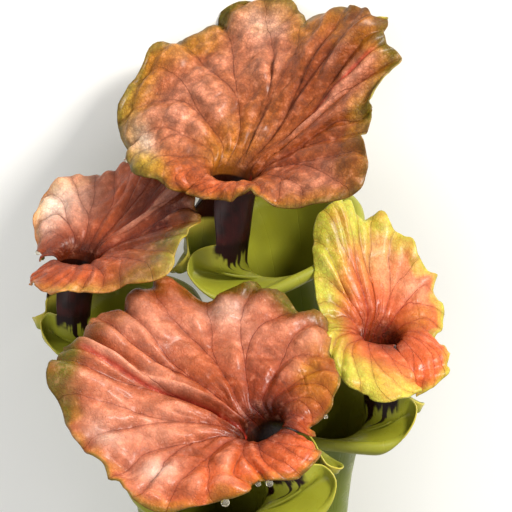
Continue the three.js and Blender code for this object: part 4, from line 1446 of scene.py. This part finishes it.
def waxy_leaf(name, veins, crackle_colour, crackle, roughness, blotches):
    """The material of one leaf, with its own vein and crackle colours."""
    material, tree, skin = new_material(name)
    colour = add_node(tree, "Attribute", {"attribute_name": "leaf_colour"})
    path = add_node(tree, "Attribute", {"attribute_name": "vein_path"})
    count, share, width = add_node(tree, "SeparateXYZ", {}, path.outputs["Vector"]).outputs
    place = add_node(tree, "TexCoord", {}).outputs["Object"]
    on_lid = add_node(tree, "MapRange", EASED, share, -0.02, 0.08, 0.0, 1.0)

    thread, halo = main_veins(tree, place, count, share, width)
    inked = thread_weight(tree, place, thread, share, on_lid, colour.outputs["Alpha"])
    halo = add_node(tree, "Math", TIMES, halo, on_lid)
    net = crackle_net(tree, place, on_lid)
    net_weight = add_node(tree, "Math", TIMES, net, crackle)
    paint, speckle = mottled(tree, place, colour.outputs["Color"], veins, on_lid, blotches)
    paint = add_node(tree, "Mix", TINT, halo, paint, shade(veins))
    paint = add_node(tree, "Mix", TINT, net_weight, paint, shade(crackle_colour))
    paint = add_node(tree, "Mix", TINT, inked, paint, shade(veins))
    tree.links.new(paint.outputs[2], skin.inputs["Base Color"])

    depth = add_node(tree, "MapRange", EASED, on_lid, 0.0, 1.0, GROOVE_OFF_LID, GROOVE_ON_LID)
    groove = add_node(tree, "Math", TIMES, thread, depth)
    height = add_node(tree, "Math", TIMES_PLUS, net, CRACKLE_DEPTH, groove)
    height = add_node(tree, "Math", TIMES_PLUS, speckle, SPECK_HEIGHT, height)
    bump = add_node(tree, "Bump", {}, Height=height, Strength=1.0, Distance=MILLIMETRE)
    tree.links.new(bump.outputs["Normal"], skin.inputs["Normal"])

    # It gives the eye a broad satin sheen that comes and goes with the damp
    damp = add_node(tree, "TexNoise", {}, Vector=place, Scale=per_grain(DAMP_GRAIN), Detail=3.0)
    smoothest, roughest = roughness - DAMP_SWING, roughness + DAMP_SWING
    sheen = add_node(tree, "MapRange", EASED, damp, 0.35, 0.65, smoothest, roughest)
    tree.links.new(sheen.outputs[0], skin.inputs["Roughness"])
    for socket, value in WAXY_FLESH.items():
        skin.inputs[socket].default_value = value
    print(name, len(tree.nodes), "nodes")
    return material


# %% [markdown]
# ### The leaves themselves
# Everything comes together here, one leaf after the other: the sheet, its relief, its thickness,
# its paint and its skin. The back lid is the mattest and the most blotched, the right one the
# brightest, with veins of a clear red.

# %% Make the pitchers
# For each: the colours of veins and crackle, the crackle's strength, the roughness and the blotches
SKINS = {
    "back": ("#521808", "#5A220A", 0.3, 0.42, 0.36),
    "left": ("#601A0C", "#7A3014", 0.2, 0.4, 0.24),
    "right": ("#861608", "#983812", 0.2, 0.36, 0.16),
    "front": ("#6A1208", "#86300C", 0.16, 0.33, 0.22),
}
margins = {}
for name, p in PITCHERS.items():
    points, quads, fields, foot = leaf_sheet(p)
    points = puckered(p, points, normals_of(points, quads), fields)
    margins[name] = points[-len(DIRECTION):]
    every, faces, caps, rim = thickened(points, quads, normals_of(points, quads), foot)
    skin = waxy_leaf(f"fresh_waxy_leaf_{name}", *SKINS[name])
    make_piece(f"{name}_leaf", f"pitcher_{name}", every, [*faces, *caps],
               leaf_attributes(p, points, fields, rim), skin)

# %% [markdown]
# ### Nectar
# A few clear drops hang from the margins of the lids. A drop could be a round ball, but its own
# weight draws it out, so each is a small bead that is narrower at the top, seated on the margin of
# the leaf.

# %% Shape of a drop
DROP_RINGS = 12
DROP_SIDES = 20
DROP_STRETCH = 1.15
DROP_NARROWING = 0.25
DROP_SEAT = 0.8


def drop_shape(radius):
    """Rings of points from top to bottom and the two poles: each ring has the radius r sin f
    (1 - c cos f) at the level s r cos f, with the fall f from 0 to 180 degrees."""
    turn = np.arange(DROP_SIDES) / DROP_SIDES * 2 * np.pi
    fall = np.linspace(0, 1, DROP_RINGS + 1)[1:-1, None] * np.pi
    ring = radius * np.sin(fall) * (1 - DROP_NARROWING * np.cos(fall))
    level = DROP_STRETCH * radius * np.cos(fall) + 0 * turn
    rings = np.stack([ring * np.cos(turn), ring * np.sin(turn), level], -1).reshape(-1, 3)
    return np.concatenate([rings, [[0, 0, DROP_STRETCH * radius], [0, 0, -DROP_STRETCH * radius]]])


def drop_faces(first):
    """Quads between the rings and triangles to the poles, from that point number on."""
    at = np.arange((DROP_RINGS - 1) * DROP_SIDES).reshape(DROP_RINGS - 1, DROP_SIDES) + first
    closed = np.concatenate([at, at[:, :1]], 1)
    pole = np.full(DROP_SIDES, first + at.size)
    top = np.stack([pole, at[0], closed[0, 1:]], -1)
    bottom = np.stack([pole + 1, closed[-1, 1:], at[-1]], -1)
    return [*quads_between(closed), *top, *bottom]


print("a drop has", len(drop_shape(1)), "points")

# %% Hang the drops
# Sugary water: clear and very smooth, so that it gives the eye one bright point and a bent view of
# the leaf behind. Its index is a little over that of water.
nectar, _, skin = new_material("clear_nectar")
skin.inputs["Base Color"].default_value = shade("#FFF6E4")
skin.inputs["Roughness"].default_value = 0.03
skin.inputs["Transmission Weight"].default_value = 0.9
skin.inputs["IOR"].default_value = 1.36

# Each drop's lid, direction on its margin and radius
DROPS = (("front", 112, 1.5), ("front", 101, 1.2), ("front", 88, 1.7), ("left", 128, 1.1),
         ("front", -128, 1.0), ("back", 118, 1.1))
hung_points = []
hung_faces = []
for name, direction, radius in DROPS:
    seat = margins[name][np.argmin(np.abs(DIRECTION - direction))] - np.array([0, 0, DROP_SEAT * radius])
    hung_faces += drop_faces(sum(len(points) for points in hung_points))
    hung_points.append(drop_shape(radius) + seat)
make_piece("nectar_drops", None, np.concatenate(hung_points), hung_faces, {}, nectar)

# %% [markdown]
# ## Rhizome and roots
# The trumpets stand on a thick creeping stem, ringed with the scars of old leaves, and fleshy roots
# hang from it. Its solid has the right form, so its mesh is copied, divided twice and rounded. Scars
# and wrinkles are then pushed into it along its normals, and thin rootlets are swept out of it.

# %% Divide the solid finely
SAME_CORNER = 1e-6
ROUNDING = 0.2


def finely_divided(node, times):
    """The corners and faces of a node's mesh, in millimetres of the frame, after splitting each
    triangle in four and smoothing it that many times."""
    mesh = bmesh.new()
    mesh.from_mesh(node.data)
    bmesh.ops.remove_doubles(mesh, verts=mesh.verts, dist=SAME_CORNER)
    bmesh.ops.recalc_face_normals(mesh, faces=mesh.faces)
    for _ in range(times):
        bmesh.ops.subdivide_edges(mesh, edges=mesh.edges, cuts=1, use_grid_fill=True)
        bmesh.ops.smooth_vert(mesh, verts=mesh.verts, factor=ROUNDING,
                              use_axis_x=True, use_axis_y=True, use_axis_z=True)
    mesh.normal_update()
    corners = np.array([v.co for v in mesh.verts]) / MILLIMETRE
    normal = np.array([v.normal for v in mesh.verts])
    faces = [[v.index for v in f.verts] for f in mesh.faces]
    mesh.free()
    return corners, normal, faces


corners, normal, faces = finely_divided(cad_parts["rhizome_and_roots"], 2)
print("the rhizome has", len(faces), "triangles")

# %% Scars, wrinkles and colours
# Millimetres from the crown: the thick stem ends over the first stretch, the roots pale over the
# second one
STEM_END = {"from": 34, "over": 26}
ROOTS_PALE = {"from": 70, "over": 50}
RING_SPACING = 1.9
GROUND_CLEARANCE = 0.4
RHIZOME_COLOURS = {"bark": "#4A2E1A", "scar": "#2A170D", "root": "#7A5636", "tip": "#C8A878"}
EARTH = {name: linear(value) for name, value in RHIZOME_COLOURS.items()}

from_crown = np.linalg.norm(corners - laid(CROWN)[None] / MILLIMETRE, axis=1)
thick = 1 - smooth((from_crown - STEM_END["from"]) / STEM_END["over"])
rings = np.sin(corners[:, 0] / RING_SPACING + 2.2 * noise(corners, 9))
lift = thick * (0.5 * rings + 0.6 * noise(corners, 4))
lift += 0.35 * noise(corners + 40, 3) + 0.18 * noise(corners + 80, 1.3)
corners = corners + normal * lift[:, None]
corners[:, 2] = np.maximum(corners[:, 2], GROUND_CLEARANCE / 2)

scarred = smooth(0.5 - 0.5 * rings)[:, None] * thick[:, None]
bark = mix(EARTH["bark"], EARTH["scar"], scarred)
pale = smooth((from_crown - ROOTS_PALE["from"]) / ROOTS_PALE["over"])[:, None]
fleshy = mix(EARTH["root"], EARTH["tip"], pale)
earth = bark * thick[:, None] + fleshy * (1 - thick[:, None])
earth = earth * (1 + 0.35 * noise(corners, 5))[:, None]
print("relief of the bark", np.round([lift.min(), lift.max()], 2), "mm")

# %% [markdown]
# ### Rootlets
# Fine side roots grow out of the stem and the thick roots. Hair would be quick, but it isn't kept
# as a mesh. Each is a thin tube along a short swerving path that starts just under the bark.

# %% Sweep the rootlets
ROOTLETS = 150
ROOTLET_SIDES = 5
ROOTLET_ROWS = 9
ROOTLETS_FROM = 26
ROOTLET_SUNK = 0.4
ROOTLET_LENGTH = (8, 24)
ROOTLET_RADIUS = (0.25, 0.5)


def swept_thread(path, radius):
    """A thin tube round a path: rings of points at radius * (cos, sin) of its own cross axes, that
    taper to the tip."""
    ahead = unit(np.gradient(path, axis=0))
    beside = unit(np.cross(ahead, np.array([0.3, 0.2, 1.0])))
    above = np.cross(ahead, beside)
    turn = 2 * np.pi * np.arange(ROOTLET_SIDES) / ROOTLET_SIDES
    taper = radius * (1 - 0.75 * np.linspace(0, 1, len(path)) ** 2)
    ring = np.cos(turn)[None, :, None] * beside[:, None] + np.sin(turn)[None, :, None] * above[:, None]
    points = (path[:, None] + taper[:, None, None] * ring).reshape(-1, 3)
    at = np.arange(len(path) * ROOTLET_SIDES).reshape(len(path), ROOTLET_SIDES)
    closed = np.concatenate([at, at[:, :1]], 1)
    return points, quads_between(closed.T).tolist() + [at[0][::-1].tolist(), at[-1].tolist()]


random = np.random.default_rng(5)
low, high = corners.min(0) + 2, corners.max(0) - 2
all_points = [corners]
all_faces = list(faces)
all_colours = [earth]
share = np.linspace(0, 1, ROOTLET_ROWS)[:, None]
for start in random.choice(np.nonzero(from_crown > ROOTLETS_FROM)[0], ROOTLETS, replace=False):
    length = random.uniform(*ROOTLET_LENGTH)
    lean = unit(normal[start] + random.normal(0, 0.35, 3) + np.array([0, -0.5, 0]))
    swerve = random.normal(0, 0.25, 3)
    way = lean * share + swerve * share ** 2 * np.sin(3 * share + start)
    path = corners[start] - ROOTLET_SUNK * normal[start] + length * way
    path[:, 2] = np.maximum(path[:, 2], GROUND_CLEARANCE)
    path = np.clip(path, low, high)
    path += 0.02 * random.normal(0, 1, path.shape)
    points, quads = swept_thread(path, random.uniform(*ROOTLET_RADIUS))
    first = sum(len(points) for points in all_points)
    all_faces += [[corner + first for corner in face] for face in quads]
    all_points.append(points)
    tint = mix(EARTH["root"], EARTH["tip"], random.uniform(0, 0.9))
    all_colours.append(np.tile(tint, (len(points), 1)))
print(ROOTLETS, "rootlets")

# %% Make the rhizome and roots
# Washed root bark: dry, corky and matt, so that it gives the eye hardly any gleam, and a crumbly
# grain of about one millimetre that catches the light from the side.
bark_skin, tree, skin = new_material("washed_root_bark")
colour = add_node(tree, "Attribute", {"attribute_name": "leaf_colour"})
place = add_node(tree, "TexCoord", {}).outputs["Object"]
grain = add_node(tree, "TexNoise", {}, Vector=place, Scale=per_grain(1.11), Detail=5.0)
crumbs = add_node(tree, "TexVoronoi", {}, Vector=place, Scale=per_grain(1.43))
darker = add_node(tree, "MapRange", {}, grain, 0.35, 0.7, 0.5, 1.25)
shaded = add_node(tree, "VectorMath", BRIGHTNESS, colour, darker)
tree.links.new(shaded.outputs[0], skin.inputs["Base Color"])
rough = add_node(tree, "Math", PLUS, grain, crumbs)
bump = add_node(tree, "Bump", {}, Height=rough, Strength=1.0, Distance=0.4 * MILLIMETRE)
tree.links.new(bump.outputs["Normal"], skin.inputs["Normal"])
skin.inputs["Roughness"].default_value = 0.85
skin.inputs["Specular IOR Level"].default_value = 0.3

earth = np.concatenate(all_colours)
make_piece("rhizome_and_rootlets", "rhizome_and_roots", growing(np.concatenate(all_points)),
           all_faces, {"leaf_colour": np.concatenate([earth, np.ones((len(earth), 1))], 1)}, bark_skin)

# %% [markdown]
# ## Floor
# A plain pale surface under the plant, wide enough that its edges stay out of every picture.

# %% Make the floor
FLOOR_HALF = 4.0
floor_mesh = bpy.data.meshes.new("floor")
floor_corners = [(x * FLOOR_HALF, y * FLOOR_HALF, 0) for x, y in ((-1, -1), (1, -1), (1, 1), (-1, 1))]
floor_mesh.from_pydata(floor_corners, [], [(0, 1, 2, 3)])
floor = bpy.data.objects.new("floor", floor_mesh)
bpy.context.collection.objects.link(floor)

# A board with matt white paint: even, with no gleam of its own, so that only shadows show on it
floor_paint, _, floor_surface = new_material("matt_white_board")
floor_surface.inputs["Base Color"].default_value = shade("#F2F1EE")
floor_surface.inputs["Roughness"].default_value = 0.9
floor_mesh.materials.append(floor_paint)
print("the floor is", 2 * FLOOR_HALF, "m wide")
